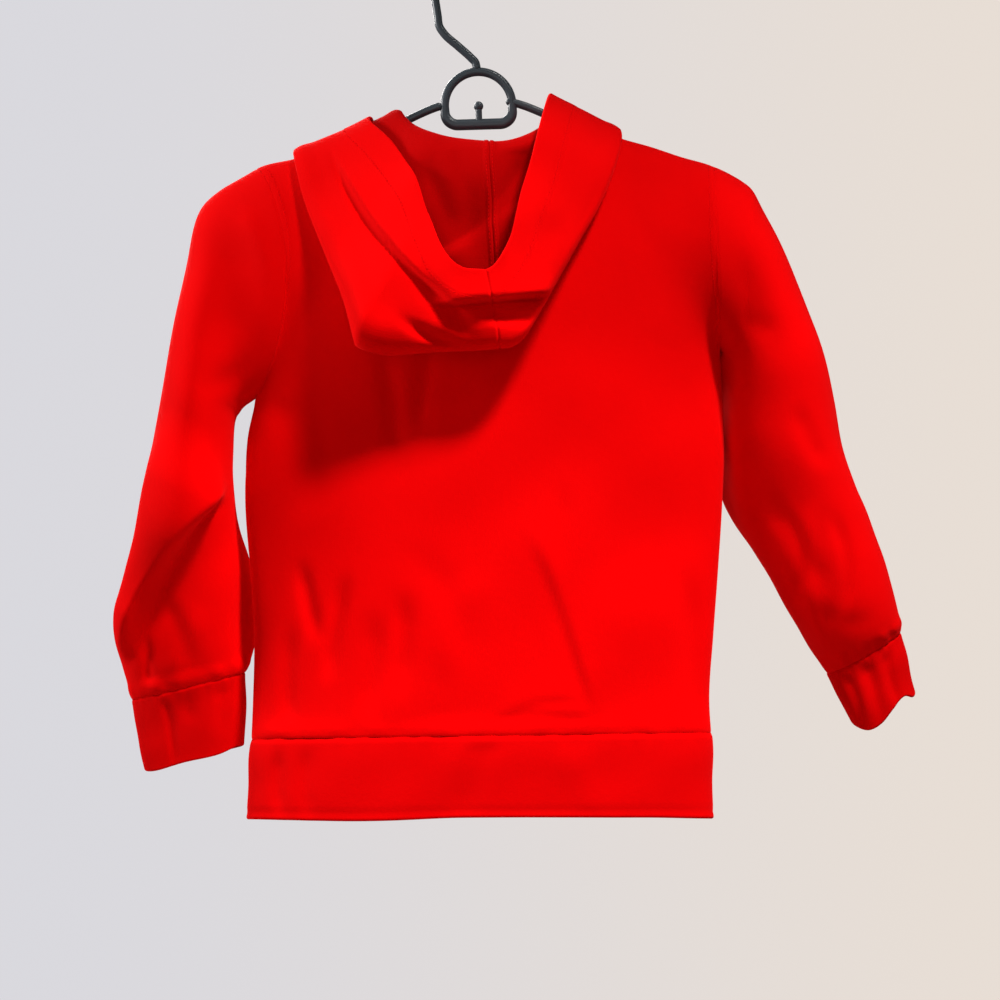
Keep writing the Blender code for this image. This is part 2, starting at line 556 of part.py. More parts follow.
def make_hem_band(back, front, material):
    """A tube below the panels: its columns are theirs, and its sections follow the band's table."""
    back_share = section_columns(back.shape[1] - 1)
    front_share = section_columns(front.shape[1] - 1)
    rows = smooth(HEM_BAND, np.linspace(0.0, 1.0, HEM_ROWS + 1))
    rings_out, rings_in = [], []
    for index, (left_x, right_x, left_z, right_z, half_depth, back_lift) in enumerate(rows):
        ring, ring_in = [], []
        for share, face in ((back_share, -1.0), (front_share[::-1], 1.0)):
            x = left_x + (right_x - left_x) * share
            lift = back_lift * section_depth(share) if face < 0 else 0.0
            z = left_z + (right_z - left_z) * share + lift
            y = face * half_depth * section_depth(share)
            half = np.stack([x, y, z], -1)
            if face > 0:
                direction = hem_directions(half[::-1], face)[::-1]
            else:
                direction = hem_directions(half, face)
            half_in = half - BAND_WALL * direction
            ring.append(half[:-1])
            ring_in.append(half_in[:-1])
        ring, ring_in = np.concatenate(ring), np.concatenate(ring_in)
        if index == 0:
            ring[:, 2] -= GAP
            ring_in[:, 2] -= GAP
        rings_out.append(ring)
        rings_in.append(ring_in)
    mesh = wall_mesh("hem_band", np.array(rings_out), np.array(rings_in), closed=True)
    add_piece("hem_band", mesh, material)


# ================================================================ hood
def hood_half(table, right):
    """Keys of the hood's sections on one side in x, tape distance and lift; rows go from the centre to the front."""
    angle = np.concatenate([back_neck_angles()[::-1], front_neck_angles()[1:]])
    fold_x, fold_down, fold_lift, fold_radius, edge_x, edge_down, edge_lift = smooth(table, angle).T
    seam_x, seam_down = neck_point(angle, right)
    seam = np.stack([seam_x, seam_down], -1)
    fold = np.stack([fold_x, fold_down], -1)
    edge = np.stack([edge_x, edge_down], -1)
    # outward from the neck, square to the seam
    width = NECK_RIGHT if right else -NECK_LEFT
    reach = 0.5 * (NECK_BACK - NECK_FRONT)
    turn = np.radians(angle)
    out = unit(np.stack([np.sin(turn) / width, np.cos(turn) / reach], -1))
    keys = []

    def key(place, lift):
        keys.append(np.concatenate([place, np.broadcast_to(lift, angle.shape)[:, None]], axis=1))

    rise = ROLL_RISE * (1 - 0.35 * step(90.0, 180.0, angle))[:, None]
    key(seam - GAP * out, 0.0)
    key(seam - 0.5 * rise * out, 0.0)
    key(seam - (rise - ROLL_RADIUS) * out, 0.0)
    key(seam - rise * out, ROLL_RADIUS)
    key(seam - (rise - ROLL_RADIUS) * out, 2 * ROLL_RADIUS)
    tip_way = unit(fold - 0.5 * (seam + edge))
    middle = fold - fold_radius[:, None] * 0.8 * tip_way
    under = fold_lift - fold_radius
    for share in UNDER_SHARES:
        key(seam + share * (middle - seam), 2 * ROLL_RADIUS + share * (under - 2 * ROLL_RADIUS))
    for degrees in FOLD_ANGLES:
        turn_in = math.radians(degrees)
        key(middle + 0.8 * fold_radius[:, None] * math.cos(turn_in) * tip_way,
            fold_lift + fold_radius * math.sin(turn_in))
    over = fold_lift + fold_radius
    crease = LIP_CREASE * step(8.0, 20.0, angle) * (1 - step(52.0, 68.0, angle))
    for share in OUTER_SHARES:
        trough = crease * math.exp(-((share - 0.6) / 0.16) ** 2)
        key(middle + share * (edge - middle), over + share * (edge_lift - over) - trough)
    return np.stack(keys, axis=1)


def make_hood(material):
    """Both halves are worked out as one sheet, so that they share their directions at the centre seam."""
    left = hood_half(HOOD_LEFT, False)
    right = hood_half(HOOD_RIGHT, True)
    keys = np.concatenate([left[::-1], right[1:]])
    outer = carrier(keys[..., 0], keys[..., 1], keys[..., 2])
    normal = grid_normals(outer)
    first = carrier(keys[:, 0, 0], keys[:, 0, 1], 1.0) - outer[:, 0]
    normal[:, 0] = first
    normal[0, :, 0] = normal[-1, :, 0] = 0.0
    normal = unit(normal)
    if np.sum(normal[:, 1] * first) < 0:
        normal[:, 1:] *= -1
    inner = outer - WALL * normal
    seam = left.shape[0] - 1
    for name, rows, shift in (("hood_left", slice(0, seam + 1), -1.0), ("hood_right", slice(seam, None), 1.0)):
        half_out, half_in = outer[rows].copy(), inner[rows].copy()
        centre = -1 if shift < 0 else 0
        front = 0 if shift < 0 else -1
        for end in (centre, front):
            half_out[end, :, 0] += shift * 0.5 * GAP
            half_in[end, :, 0] += shift * 0.5 * GAP
        add_piece(name, wall_mesh(name, half_out, half_in), material)


# ================================================================ pocket
def make_pocket(material):
    """A kangaroo pocket on the front panel: sewn at the top, bottom and lower sides, open along its slanted edges."""
    a = np.linspace(-1.0, 1.0, POCKET_COLUMNS + 1)[None, :]
    b = np.linspace(0.0, 1.0, POCKET_ROWS + 1)[:, None]
    slant = np.clip((b - POCKET_SIDE_SHARE) / (1 - POCKET_SIDE_SHARE), 0.0, 1.0)
    half = POCKET_HALF_BOTTOM + (POCKET_HALF_TOP - POCKET_HALF_BOTTOM) * slant
    x = POCKET_X + a * half
    z = POCKET_BOTTOM + (POCKET_TOP - POCKET_BOTTOM) * b + 0 * a
    sewn_sides = np.abs(a) ** 4 * (1 - step(POCKET_SIDE_SHARE - 0.05, POCKET_SIDE_SHARE + 0.15, b))
    stand = POCKET_STAND * np.clip(np.sin(math.pi * b), 0.0, 1.0) ** 0.7 * (1 - sewn_sides)
    left = np.interp(-z, [-row[0] for row in SIDE_SEAMS[::-1]], [row[1] for row in SIDE_SEAMS[::-1]])
    right = np.interp(-z, [-row[0] for row in SIDE_SEAMS[::-1]], [row[2] for row in SIDE_SEAMS[::-1]])
    share = (x - left) / (right - left)
    panel = carrier_depth(x, z) * section_depth(share)
    inner = np.stack([x, panel + POCKET_GAP + stand, z], -1)
    outer = inner + np.array([0.0, WALL, 0.0])
    add_piece("pocket", wall_mesh("pocket", outer, inner), material)


# ================================================================ hanger
def tube(name, points, radius):
    """A round rod along a route, as a mesh with closed ends."""
    curve = bpy.data.curves.new(name, "CURVE")
    curve.dimensions = "3D"
    curve.bevel_depth = radius * MM
    curve.bevel_resolution = 2
    curve.use_fill_caps = True
    spline = curve.splines.new("POLY")
    spline.points.add(len(points) - 1)
    for point, (x, y, z) in zip(spline.points, points):
        point.co = (x * MM, y * MM, z * MM, 1.0)
    rod = bpy.data.objects.new(name, curve)
    parts.objects.link(rod)
    depsgraph = bpy.context.evaluated_depsgraph_get()
    mesh = bpy.data.meshes.new_from_object(rod.evaluated_get(depsgraph))
    face_outwards(mesh)
    solid = bpy.data.objects.new(name + "_solid", mesh)
    solid.matrix_world = rod.matrix_world
    bpy.data.objects.remove(rod)
    parts.objects.link(solid)
    return solid


def hook_route():
    """The hook's arc from its free end over the top, then the cranked neck down to the ring."""
    centre_z = ROD_RADIUS - HOOK_RADIUS
    angles = np.linspace(HOOK_END, HOOK_START, 22)
    points = [(HOOK_RADIUS * math.cos(a), 0.0, centre_z + HOOK_RADIUS * math.sin(a)) for a in angles]
    foot = np.array([(points[-1][0], points[-1][2]), *NECK_ROUTE], float)
    for index in range(len(foot) - 1):
        start, end = foot[index], foot[index + 1]
        way = end - start
        for share in (0.12, 0.5, 0.88):
            x, z = start + share * way
            points.append((x, 0.0, z))
    points.append((foot[-1][0], 0.0, foot[-1][1]))
    return points


def ring_route():
    """The ring's centre line: an arch over a flat bar, with rounded lower corners."""
    arch = [(RING_RADIUS * math.cos(a), RING_RADIUS * math.sin(a)) for a in np.linspace(0.0, math.pi, 19)]
    corner_z = -RING_DROP + RING_CORNER
    corner_x = RING_RADIUS - RING_CORNER
    left = [(-corner_x + RING_CORNER * math.cos(a), corner_z + RING_CORNER * math.sin(a))
            for a in np.linspace(math.pi, 1.5 * math.pi, 6)]
    right = [(corner_x + RING_CORNER * math.cos(a), corner_z + RING_CORNER * math.sin(a))
             for a in np.linspace(1.5 * math.pi, 2 * math.pi, 6)]
    return np.array(arch + left + right, float)


def make_ring():
    """The ring is a closed sweep whose section widens from the round arch to the taller bar."""
    line = ring_route()
    count = len(line)
    ahead = np.roll(line, -1, axis=0) - np.roll(line, 1, axis=0)
    way = unit(ahead)
    out = np.stack([way[:, 1], -way[:, 0]], -1)
    low = step(0.0, RING_DROP - 2.0, -line[:, 1])
    half_width = 0.5 * (ARCH_WIDTH + (BAR_WIDTH - ARCH_WIDTH) * low)
    sides = 10
    turn = (np.arange(sides) + 0.5) * 2 * math.pi / sides
    ring = np.zeros((count, sides, 3))
    ring[..., 0] = line[:, 0][:, None] + out[:, 0][:, None] * half_width[:, None] * np.cos(turn)
    ring[..., 1] = 0.5 * RING_DEPTH * np.sin(turn)
    ring[..., 2] = RING_Z + line[:, 1][:, None] + out[:, 1][:, None] * half_width[:, None] * np.cos(turn)
    faces = []
    for i in range(count):
        for j in range(sides):
            k, n = (i + 1) % count, (j + 1) % sides
            faces.append((i * sides + j, k * sides + j, k * sides + n, i * sides + n))
    mesh = bpy.data.meshes.new("ring")
    mesh.from_pydata((ring.reshape(-1, 3) * MM).tolist(), [], faces)
    face_outwards(mesh)
    solid = bpy.data.objects.new("ring_solid", mesh)
    parts.objects.link(solid)
    return solid


def arm_route(start_x, end_x):
    """An arm that carries the cloth: it keeps one clearance below the ridge, and is given in the untilted frame."""
    x = np.linspace(start_x, end_x, ARM_POINTS)
    reach = ARM_RADIUS + WALL + ARM_CLEARANCE
    beside = np.linspace(-reach, reach, 41)
    z = np.min(ridge_z(x[:, None] + beside) - np.sqrt(reach**2 - beside**2), axis=1)
    cos, sin = math.cos(TILT), math.sin(TILT)
    return [(px * cos + pz * sin, 0.0, pz * cos - px * sin) for px, pz in zip(x, z)]


def make_hanger(material):
    ring = make_ring()
    pieces = [tube("hook", hook_route(), ROD_RADIUS)]
    pieces.append(tube("arm_left", arm_route(-ARM_START_X, ARM_END_LEFT), ARM_RADIUS))
    pieces.append(tube("arm_right", arm_route(ARM_START_X, ARM_END_RIGHT), ARM_RADIUS))
    bar_z = RING_Z - RING_DROP
    peg = [(0.0, 0.0, bar_z), (0.0, 0.0, bar_z + PEG_HEIGHT - PEG_KNOB)]
    pieces.append(tube("peg", peg, PEG_NECK))
    knob = bpy.data.meshes.new("knob")
    ball = bmesh.new()
    bmesh.ops.create_uvsphere(ball, u_segments=12, v_segments=8, radius=PEG_KNOB * MM)
    ball.to_mesh(knob)
    ball.free()
    knob_solid = bpy.data.objects.new("knob_solid", knob)
    knob_solid.location = (0.0, 0.0, (bar_z + PEG_HEIGHT - PEG_KNOB) * MM)
    parts.objects.link(knob_solid)
    pieces.append(knob_solid)
    for piece in pieces:
        join = ring.modifiers.new("join", "BOOLEAN")
        join.operation = "UNION"
        join.object = piece
        join.solver = "EXACT"
    bpy.context.view_layer.update()
    depsgraph = bpy.context.evaluated_depsgraph_get()
    mesh = bpy.data.meshes.new_from_object(ring.evaluated_get(depsgraph))
    mesh.name = "hanger"
    cos, sin = math.cos(TILT), math.sin(TILT)
    places = np.zeros(len(mesh.vertices) * 3)
    mesh.vertices.foreach_get("co", places)
    places = places.reshape(-1, 3)
    turned = np.stack([places[:, 0] * cos - places[:, 2] * sin, places[:, 1],
                       places[:, 0] * sin + places[:, 2] * cos], -1)
    mesh.vertices.foreach_set("co", turned.ravel())
    mesh.materials.clear()
    mesh.shade_smooth()
    mesh.set_sharp_from_angle(angle=math.radians(40))
    for piece in [ring, *pieces]:
        bpy.data.objects.remove(piece)
    add_piece("hanger", mesh, material)


# ================================================================ build
for old in list(bpy.data.objects):
    bpy.data.objects.remove(old)
parts = bpy.data.collections.new("kids_hoodie_on_hanger")
bpy.context.scene.collection.children.link(parts)

fleece = make_material("fleece", (0.80, 0.005, 0.008), 0.9)
plastic = make_material("plastic", (0.045, 0.06, 0.075), 0.35)

back_out, back_in = panel_grid(front=False)
front_out, front_in = panel_grid(front=True)
add_piece("back", wall_mesh("back", back_out, back_in), fleece)
add_piece("front", wall_mesh("front", front_out, front_in), fleece)
make_sleeve("left", SLEEVE_LEFT, CUFF_SEAM_LEFT, fleece)
make_sleeve("right", SLEEVE_RIGHT, CUFF_SEAM_RIGHT, fleece)
make_cuff("left", SLEEVE_LEFT, CUFF_SEAM_LEFT, fleece)
make_cuff("right", SLEEVE_RIGHT, CUFF_SEAM_RIGHT, fleece)
make_hem_band(back_out, front_out, fleece)
make_hood(fleece)
make_pocket(fleece)
make_hanger(plastic)
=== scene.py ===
# %% [markdown]
# # A child's hoodie on its hanger
#
# This lesson dresses a measured model of a pullover hoodie that hangs from a plastic hanger. Cloth is a
# thin shell. On the real garment it is cut flat, sewn along seams and then hangs under its own weight, so
# each piece here is a smooth surface of two parameters with a wall a little over two millimetres thick. All
# tables are in millimetres.

# %% Load the measured parts
import math
import bpy
import numpy as np
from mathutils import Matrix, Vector


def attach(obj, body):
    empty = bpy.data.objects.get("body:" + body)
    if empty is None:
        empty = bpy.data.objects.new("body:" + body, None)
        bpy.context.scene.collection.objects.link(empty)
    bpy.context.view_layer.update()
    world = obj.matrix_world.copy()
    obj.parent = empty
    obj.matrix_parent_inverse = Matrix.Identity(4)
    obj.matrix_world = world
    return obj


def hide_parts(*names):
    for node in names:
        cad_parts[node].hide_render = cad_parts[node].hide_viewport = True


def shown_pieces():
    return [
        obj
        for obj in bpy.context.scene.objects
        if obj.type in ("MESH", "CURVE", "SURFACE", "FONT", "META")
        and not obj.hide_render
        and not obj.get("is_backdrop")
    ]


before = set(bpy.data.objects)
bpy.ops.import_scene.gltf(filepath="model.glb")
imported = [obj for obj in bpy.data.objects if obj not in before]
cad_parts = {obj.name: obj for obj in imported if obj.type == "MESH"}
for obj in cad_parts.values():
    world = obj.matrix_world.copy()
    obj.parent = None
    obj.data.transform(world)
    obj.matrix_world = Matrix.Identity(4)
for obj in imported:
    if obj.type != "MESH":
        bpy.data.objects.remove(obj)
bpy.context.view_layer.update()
MM = 0.001

# %% [markdown]
# ## Curves through short tables
#
# A maker notes a few sizes at marked places and draws a fair curve through them. `smooth` does the same
# with cubics, and `along` is the maker's tape. `step` eases from 0 to 1, and `unit` gives directions of
# length one. They all work on whole arrays at once.

# %% Small helpers


def unit(v):
    """Each vector divided by its own length."""
    return v / np.maximum(np.linalg.norm(v, axis=-1, keepdims=True), 1e-9)


def step(low, high, value):
    """Eases from 0 at low to 1 at high by 3 t squared minus 2 t cubed."""
    t = np.clip((value - low) / (high - low), 0.0, 1.0)
    return t * t * (3 - 2 * t)


def cubic(t, span, start, end, leave, arrive):
    """From start to end in one fair curve over a span, with a slope at each end."""
    return ((2 * t**3 - 3 * t**2 + 1) * start + (t**3 - 2 * t**2 + t) * span * leave
            + (3 * t**2 - 2 * t**3) * end + (t**3 - t**2) * span * arrive)


def smooth(table, at):
    """Cubics through a table's rows. The first column is the place; slopes are those of the rows around."""
    table = np.asarray(table, float)
    knots, values = table[:, 0], table[:, 1:]
    slopes = np.gradient(values, knots, axis=0)
    at = np.clip(np.atleast_1d(np.asarray(at, float)), knots[0], knots[-1])
    k = np.clip(np.searchsorted(knots, at, side="right") - 1, 0, len(knots) - 2)
    span = (knots[k + 1] - knots[k])[..., None]
    t = (at - knots[k])[..., None] / span
    return cubic(t, span, values[k], values[k + 1], slopes[k], slopes[k + 1])


def along(points, axis=0):
    """Length of a path, or of cloth, from the first point, row (axis 0) or column (axis 1) to each one."""
    hops = np.linalg.norm(np.diff(points, axis=axis), axis=-1)
    lead = np.zeros_like(np.take(hops, [0], axis=axis))
    return np.concatenate([lead, np.cumsum(hops, axis=axis)], axis=axis)


def along_back(points, axis=0):
    """The same length, measured from the last one."""
    length = along(points, axis)
    return np.take(length, [-1], axis=axis) - length


def marks(cells, per_cell, start=(), end=()):
    """Places from 0 to cells in even steps, with closer ones where a seam or an edge needs them."""
    even = np.linspace(0.0, cells, cells * per_cell + 1)
    return np.unique(np.round(np.concatenate([even, start, cells - np.asarray(end)]), 5))


print("a curve through 0, 2, 2, a quarter of the way:", smooth([(0, 0), (1, 2), (2, 2)], 0.5)[0, 0])

# %% [markdown]
# ## The surface that the cloth hangs on
#
# The shoulders lie over the hanger's arms. From that ridge the cloth falls away before and behind as a
# quarter of an ellipse, and then hangs straight. A place on it is given by x, by the tape distance from the
# ridge (positive down the back) and by a lift off the cloth. The hood, the neck seam and both panels share
# it, so they meet by themselves.

# %% The shared surface
WALL, BAND_WALL = 2.2, 3.0
GAP, GAP_REACH = 0.05, 3.0  # how far a piece keeps off its seam line, and how far from it that dies out
BODY_DEPTH, SHOULDER_FALL, SECTION_POWER = 38.0, 160.0, 2.6
RIDGE = [  # x, z
    (-222, -208), (-215, -199.5), (-206.7, -191.4), (-184.7, -176.4), (-170.6, -167.8), (-139, -159.5),
    (-110, -149.5), (-76, -134.6), (-27, -112.5), (0, -107), (31, -109.8), (76, -127.5),
    (116, -144.2), (138.3, -150.5), (162, -158.4), (187.9, -166.2), (205, -174.9), (217, -183.5),
    (222, -192)]


def ridge_z(x):
    """Height of the ridge at x."""
    x = np.asarray(x, float)
    return smooth(RIDGE, x.ravel())[:, 0].reshape(x.shape)


ARC_ANGLES = np.linspace(0.0, math.pi / 2, 1500)
ARC_LENGTHS = np.concatenate([[0.0], np.cumsum(np.hypot(
    np.diff(BODY_DEPTH * np.sin(ARC_ANGLES)), np.diff(SHOULDER_FALL * (1 - np.cos(ARC_ANGLES)))))])


def carrier(x, down, lift):
    """A quarter ellipse walked by its length, then straight down; lift goes along its normal."""
    x, down, lift = np.broadcast_arrays(x, down, lift)
    angle = np.interp(np.abs(down), ARC_LENGTHS, ARC_ANGLES)
    below = np.maximum(0.0, np.abs(down) - ARC_LENGTHS[-1])
    side = np.where(down >= 0, -1.0, 1.0)
    y = side * BODY_DEPTH * np.sin(angle)
    z = ridge_z(x) - SHOULDER_FALL * (1 - np.cos(angle)) - below
    normal = unit(np.stack([side * SHOULDER_FALL * np.sin(angle), BODY_DEPTH * np.cos(angle)], -1))
    return np.stack([x, y + lift * normal[..., 0], z + lift * normal[..., 1]], -1)


def carrier_depth(x, z):
    """How far the surface stands from the hanger's plane at a height."""
    fall = np.clip((ridge_z(x) - z) / SHOULDER_FALL, 0.0, 1.0)
    return BODY_DEPTH * np.sqrt(fall * (2 - fall))


print("tape length from ridge to straight fall:", round(float(ARC_LENGTHS[-1]), 1), "mm")

# %% [markdown]
# ## Creases placed one by one
#
# Heavy fleece doesn't crumple into sharp lines. It falls in a few soft troughs and ridges. Each row of a
# crease table is one of them: start x, start z, end x and end z of an arc, then its bend, width and depth
# (negative for a ridge). Across the arc it falls off as a bell, and it fades at both ends. In a table of
# tucks, where one layer lies over another, the last three are height, softness and reach. A few long, low
# waves keep what is left from looking ironed. A cloth simulation could find such creases too, but not
# these ones, so they are listed.

# %% Creases and unevenness
WAVES = 10


def beside(arc, x, z):
    """How far along an arc each point lies, from 0 to 1, and how far to its left."""
    start_x, start_z, end_x, end_z, bend = arc
    way = np.array([end_x - start_x, end_z - start_z], float)
    length = np.hypot(*way)
    way = way / length
    t = ((x - start_x) * way[0] + (z - start_z) * way[1]) / length
    return t, (x - start_x) * -way[1] + (z - start_z) * way[0] - 4 * bend * t * (1 - t)


def faded(t, outside, inside):
    """1 along the middle of an arc, easing to 0 from a share inside each end to a share outside it."""
    return step(-outside, inside, t) * (1 - step(1 - inside, 1 + outside, t))


def folds(table, x, z):
    """Sum over the rows of depth times a bell across the arc times a fade at its ends."""
    total = np.zeros(np.shape(x))
    for *arc, width, depth in table:
        t, across = beside(arc, x, z)
        total += depth * faded(t, 0.18, 0.28) * np.exp(-(across / (0.5 * width)) ** 2)
    return total


def tucks(table, x, z):
    """Where one layer lies over another, the cloth on the arc's left stands higher than on its right."""
    total = np.zeros(np.shape(x))
    for *arc, height, soft, reach in table:
        t, across = beside(arc, x, z)
        high = step(-soft, soft, across)
        raised = 0.7 * high * np.exp(-np.clip(across, 0.0, None) / reach)
        sunk = 0.3 * (1 - high) * np.exp(np.clip(across, None, 0.0) / (0.5 * reach))
        total += height * faded(t, 0.15, 0.18) * (raised - sunk)
    return total


def unevenness(x, z, seed, length, height):
    """Plane waves of about one length in seeded directions, added up."""
    rng = np.random.default_rng(seed)
    total = np.zeros(np.shape(x))
    for _ in range(WAVES):
        turn, phase = rng.uniform(0.0, math.pi), rng.uniform(0.0, 2 * math.pi)
        wave = length * rng.uniform(0.7, 1.7)
        total += np.sin(2 * math.pi * (x * math.cos(turn) + z * math.sin(turn)) / wave + phase)
    return height * total / math.sqrt(WAVES)


def ripple(place, waves, level=0.0):
    """Sine waves along a seam or a fold, each with its height, its length over two pi, and its start."""
    return sum((height * np.sin(place / length + start) for height, length, start in waves), level)


UNEVEN = {  # seed, length and height of the waves
    "back": (40, 110.0, 0.9), "front": (41, 110.0, 0.9), "hem band": (61, 60.0, 0.45),
    "hood outside": (71, 70.0, 1.0), "hood on the back": (72, 40.0, 0.6), "hood before": (73, 50.0, 0.5),
    "pocket": (81, 60.0, 0.5)}
CALM = {  # folds set in between these distances from a seam
    "armhole": (4.0, 30.0), "cuff": (3.0, 16.0), "side": (4.0, 34.0), "hem": (3.0, 20.0), "top": (6.0, 40.0)}
SEAMS = {  # depth and width of the groove that each kind of seam makes
    "armhole": (0.3, 1.8), "cuff": (0.6, 1.2), "hem": (0.35, 1.1), "face edge": (0.35, 0.9),
    "centre": (0.9, 1.1), "centre inside": (0.8, 0.7), "twin row": (0.35, 0.5), "centre front": (0.6, 1.1),
    "pocket opening": (0.5, 0.9), "pocket end": (0.4, 0.9)}


def seam_groove(distance, seam):
    """A narrow bell that sinks the cloth where the thread pulls it in."""
    depth, width = SEAMS[seam]
    return depth * np.exp(-(distance / width) ** 2)


def back_and_front(normal, high):
    """How far each place belongs to the back and to the front, easing over the edges between them."""
    return step(-0.1, high, -normal[..., 1]), step(-0.1, high, normal[..., 1])


print("kinds of seam:", ", ".join(SEAMS))

# %% [markdown]
# ## From two grids to a piece of cloth
#
# A piece is two grids of points, its outside and its inside, joined round the border. The tape gives each
# piece a UV map in real metres, so the knit follows the cloth. Free edges are folded over on the real
# garment, so the wall is rounded there by a half circle.

# %% Grid tools


def grid_directions(points, closed=False):
    """Cross product of the differences along rows and columns."""
    if closed:
        across = np.roll(points, -1, axis=1) - np.roll(points, 1, axis=1)
    else:
        across = np.gradient(points, axis=1)
    return unit(np.cross(unit(across), unit(np.gradient(points, axis=0))))


def facing(directions, way):
    """The directions, or their opposites if on the whole they point against a way."""
    return directions * (1.0 if np.sum(directions * way) > 0 else -1.0)


def rounded(distance, thickness):
    """Share of the full thickness at a distance from a folded edge: a half circle."""
    r = 0.5 * thickness
    near = np.clip(distance / r, 0.0, 1.0)
    return np.maximum(np.sqrt(1 - (1 - near) ** 2), 0.1)


def held(points, faces):
    """Six times the volume that closed faces hold, less than nothing where they face inwards."""
    corner = points[faces]
    return sum(np.sum(corner[:, 0] * np.cross(corner[:, n], corner[:, n + 1]))
               for n in range(1, faces.shape[1] - 1))


def put(name, points, faces, material, uv=None, inside=None):
    """Puts points in millimetres and an array of faces into a mesh object, faces outwards."""
    if held(points, faces) < 0:
        faces = faces[:, ::-1]
        uv = None if uv is None else uv[:, ::-1]
    mesh = bpy.data.meshes.new(name)
    mesh.vertices.add(len(points))
    mesh.vertices.foreach_set("co", (points * MM).astype(np.float32).ravel())
    mesh.loops.add(faces.size)
    mesh.loops.foreach_set("vertex_index", np.ascontiguousarray(faces, np.int32).ravel())
    mesh.polygons.add(len(faces))
    mesh.polygons.foreach_set("loop_start", np.arange(0, faces.size, faces.shape[1], dtype=np.int32))
    if uv is not None:
        layer = mesh.uv_layers.new(name="cloth")
        layer.uv.foreach_set("vector", np.ascontiguousarray(uv * MM, np.float32).ravel())
    if inside is not None:
        mesh.attributes.new("inside", "FLOAT", "FACE").data.foreach_set("value", inside.astype(np.float32))
    mesh.update(calc_edges=True)
    mesh.shade_smooth()
    mesh.materials.append(material)
    piece = bpy.data.objects.new(name, mesh)
    bpy.context.scene.collection.objects.link(piece)
    return piece


def cloth(node, outer, inner, material, slot="fleece", closed=False):
    """A wall between two grids, for one measured part. A closed grid joins its last column to its first."""
    rows, columns = outer.shape[:2]
    spans = columns if closed else columns - 1
    ring = np.concatenate([outer, outer[:, :1]], axis=1) if closed else outer
    u, v = along(ring, 1).mean(axis=0), along(ring).mean(axis=1)
    i, j = np.meshgrid(np.arange(rows - 1), np.arange(spans), indexing="ij")
    k, other = (j + 1) % columns, rows * columns
    a, b, c, d = i * columns + j, i * columns + k, (i + 1) * columns + k, (i + 1) * columns + j
    faces = [np.stack([a, b, c, d], -1), np.stack([a, d, c, b], -1) + other]
    left, right = np.stack([u[j], v[i]], -1), np.stack([u[j + 1], v[i]], -1)
    left_up, right_up = np.stack([u[j], v[i + 1]], -1), np.stack([u[j + 1], v[i + 1]], -1)
    maps = [np.stack([left, right, right_up, left_up], -2), np.stack([left, left_up, right_up, right], -2)]

    def rim(start, end, start_uv, end_uv, wall_uv, flip):
        faces.append(np.stack([start, end, end + other, start + other], -1)[:, ::flip])
        maps.append(np.stack([start_uv, end_uv, end_uv + wall_uv, start_uv + wall_uv], -2)[:, ::flip])

    s = np.arange(spans)
    for row, flip in ((0, 1), (rows - 1, -1)):
        near, far = np.stack([u[s], 0 * s + v[row]], -1), np.stack([u[s + 1], 0 * s + v[row]], -1)
        rim(row * columns + (s + 1) % columns, row * columns + s, far, near, [0.0, flip * WALL], flip)
    s = np.arange(0 if closed else rows - 1)
    for column, flip in ((0, 1), (columns - 1, -1)):
        near, far = np.stack([0 * s + u[column], v[s]], -1), np.stack([0 * s + u[column], v[s + 1]], -1)
        rim(s * columns + column, (s + 1) * columns + column, near, far, [WALL, 0.0], flip)
    faces = np.concatenate([f.reshape(-1, 4) for f in faces])
    maps = np.concatenate([m.reshape(-1, 4, 2) for m in maps])
    points = np.concatenate([outer.reshape(-1, 3), inner.reshape(-1, 3)])
    inside = np.zeros(len(faces))
    inside[(rows - 1) * spans:2 * (rows - 1) * spans] = 1.0
    piece = put("cloth_" + node, points, faces, material, maps, inside)
    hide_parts(node)
    print(piece.name, len(faces), "faces,", round(u[-1]), "x", round(v[-1]), "mm of cloth")
    return piece


from_fold = np.array([0.0, 0.5, 1.5])
print("share of a band's wall at", from_fold, "mm from its fold:", rounded(from_fold, BAND_WALL).round(2))

# %% [markdown]
# ## The red fleece
#
# The cloth is a cotton fleece: jersey outside, brushed inside. Seen from a step away it is matt, very red
# and almost plain, with a faint nap that catches light at grazing angles. Up close there are the columns of
# the knit, about a millimetre apart, and small tufts. The knit reads the piece's own UV map, and tufts and
# dye read Object coordinates.

# %% Node helpers


def feed(tree, node, *inputs):
    """Gives sockets of a node, by name or number, a value or the output that feeds them."""
    for socket, value in inputs:
        if isinstance(value, bpy.types.NodeSocket):
            tree.links.new(value, node.inputs[socket])
        else:
            node.inputs[socket].default_value = value
    return node.outputs


def wire(tree, kind, *inputs, **settings):
    """Adds a node of a kind, with its settings and inputs, and gives its outputs."""
    node = tree.nodes.new("ShaderNode" + kind)
    for key, value in settings.items():
        setattr(node, key, value)
    return feed(tree, node, *inputs)


def new_material(name):
    """A material, its node tree and its shader."""
    material = bpy.data.materials.new(name)
    material.use_nodes = True
    return material, material.node_tree, material.node_tree.nodes["Principled BSDF"]


print("node helpers are ready in", bpy.app.version_string)

# %% Fleece material
# painted shade: the colour of every inside face is multiplied by this grey, for the shadow inside the hood
INSIDE_PAINTED_SHADE = (0.58, 0.58, 0.58, 1.0)
PATCHES, FLECKS = (22.0, 2.0), (900.0, 3.0, 0.65)  # noise in the dye: scale, detail, roughness if not 0.5
PATCH_SHARE, FLECK_SHARE = 0.6, 0.4
FINE_NAP, COARSE_NAP = (1500.0, 3.0, 0.7), (320.0, 3.0, 0.6)  # the same in the bump
FINE_HEIGHT, COARSE_HEIGHT = 0.45, 0.8
KNIT_HEIGHT, COURSE_HEIGHT, COURSE_PITCH = 0.06, 0.6, 0.8
BUMP_STRENGTH, BUMP_DEPTH = 0.5, 0.00035


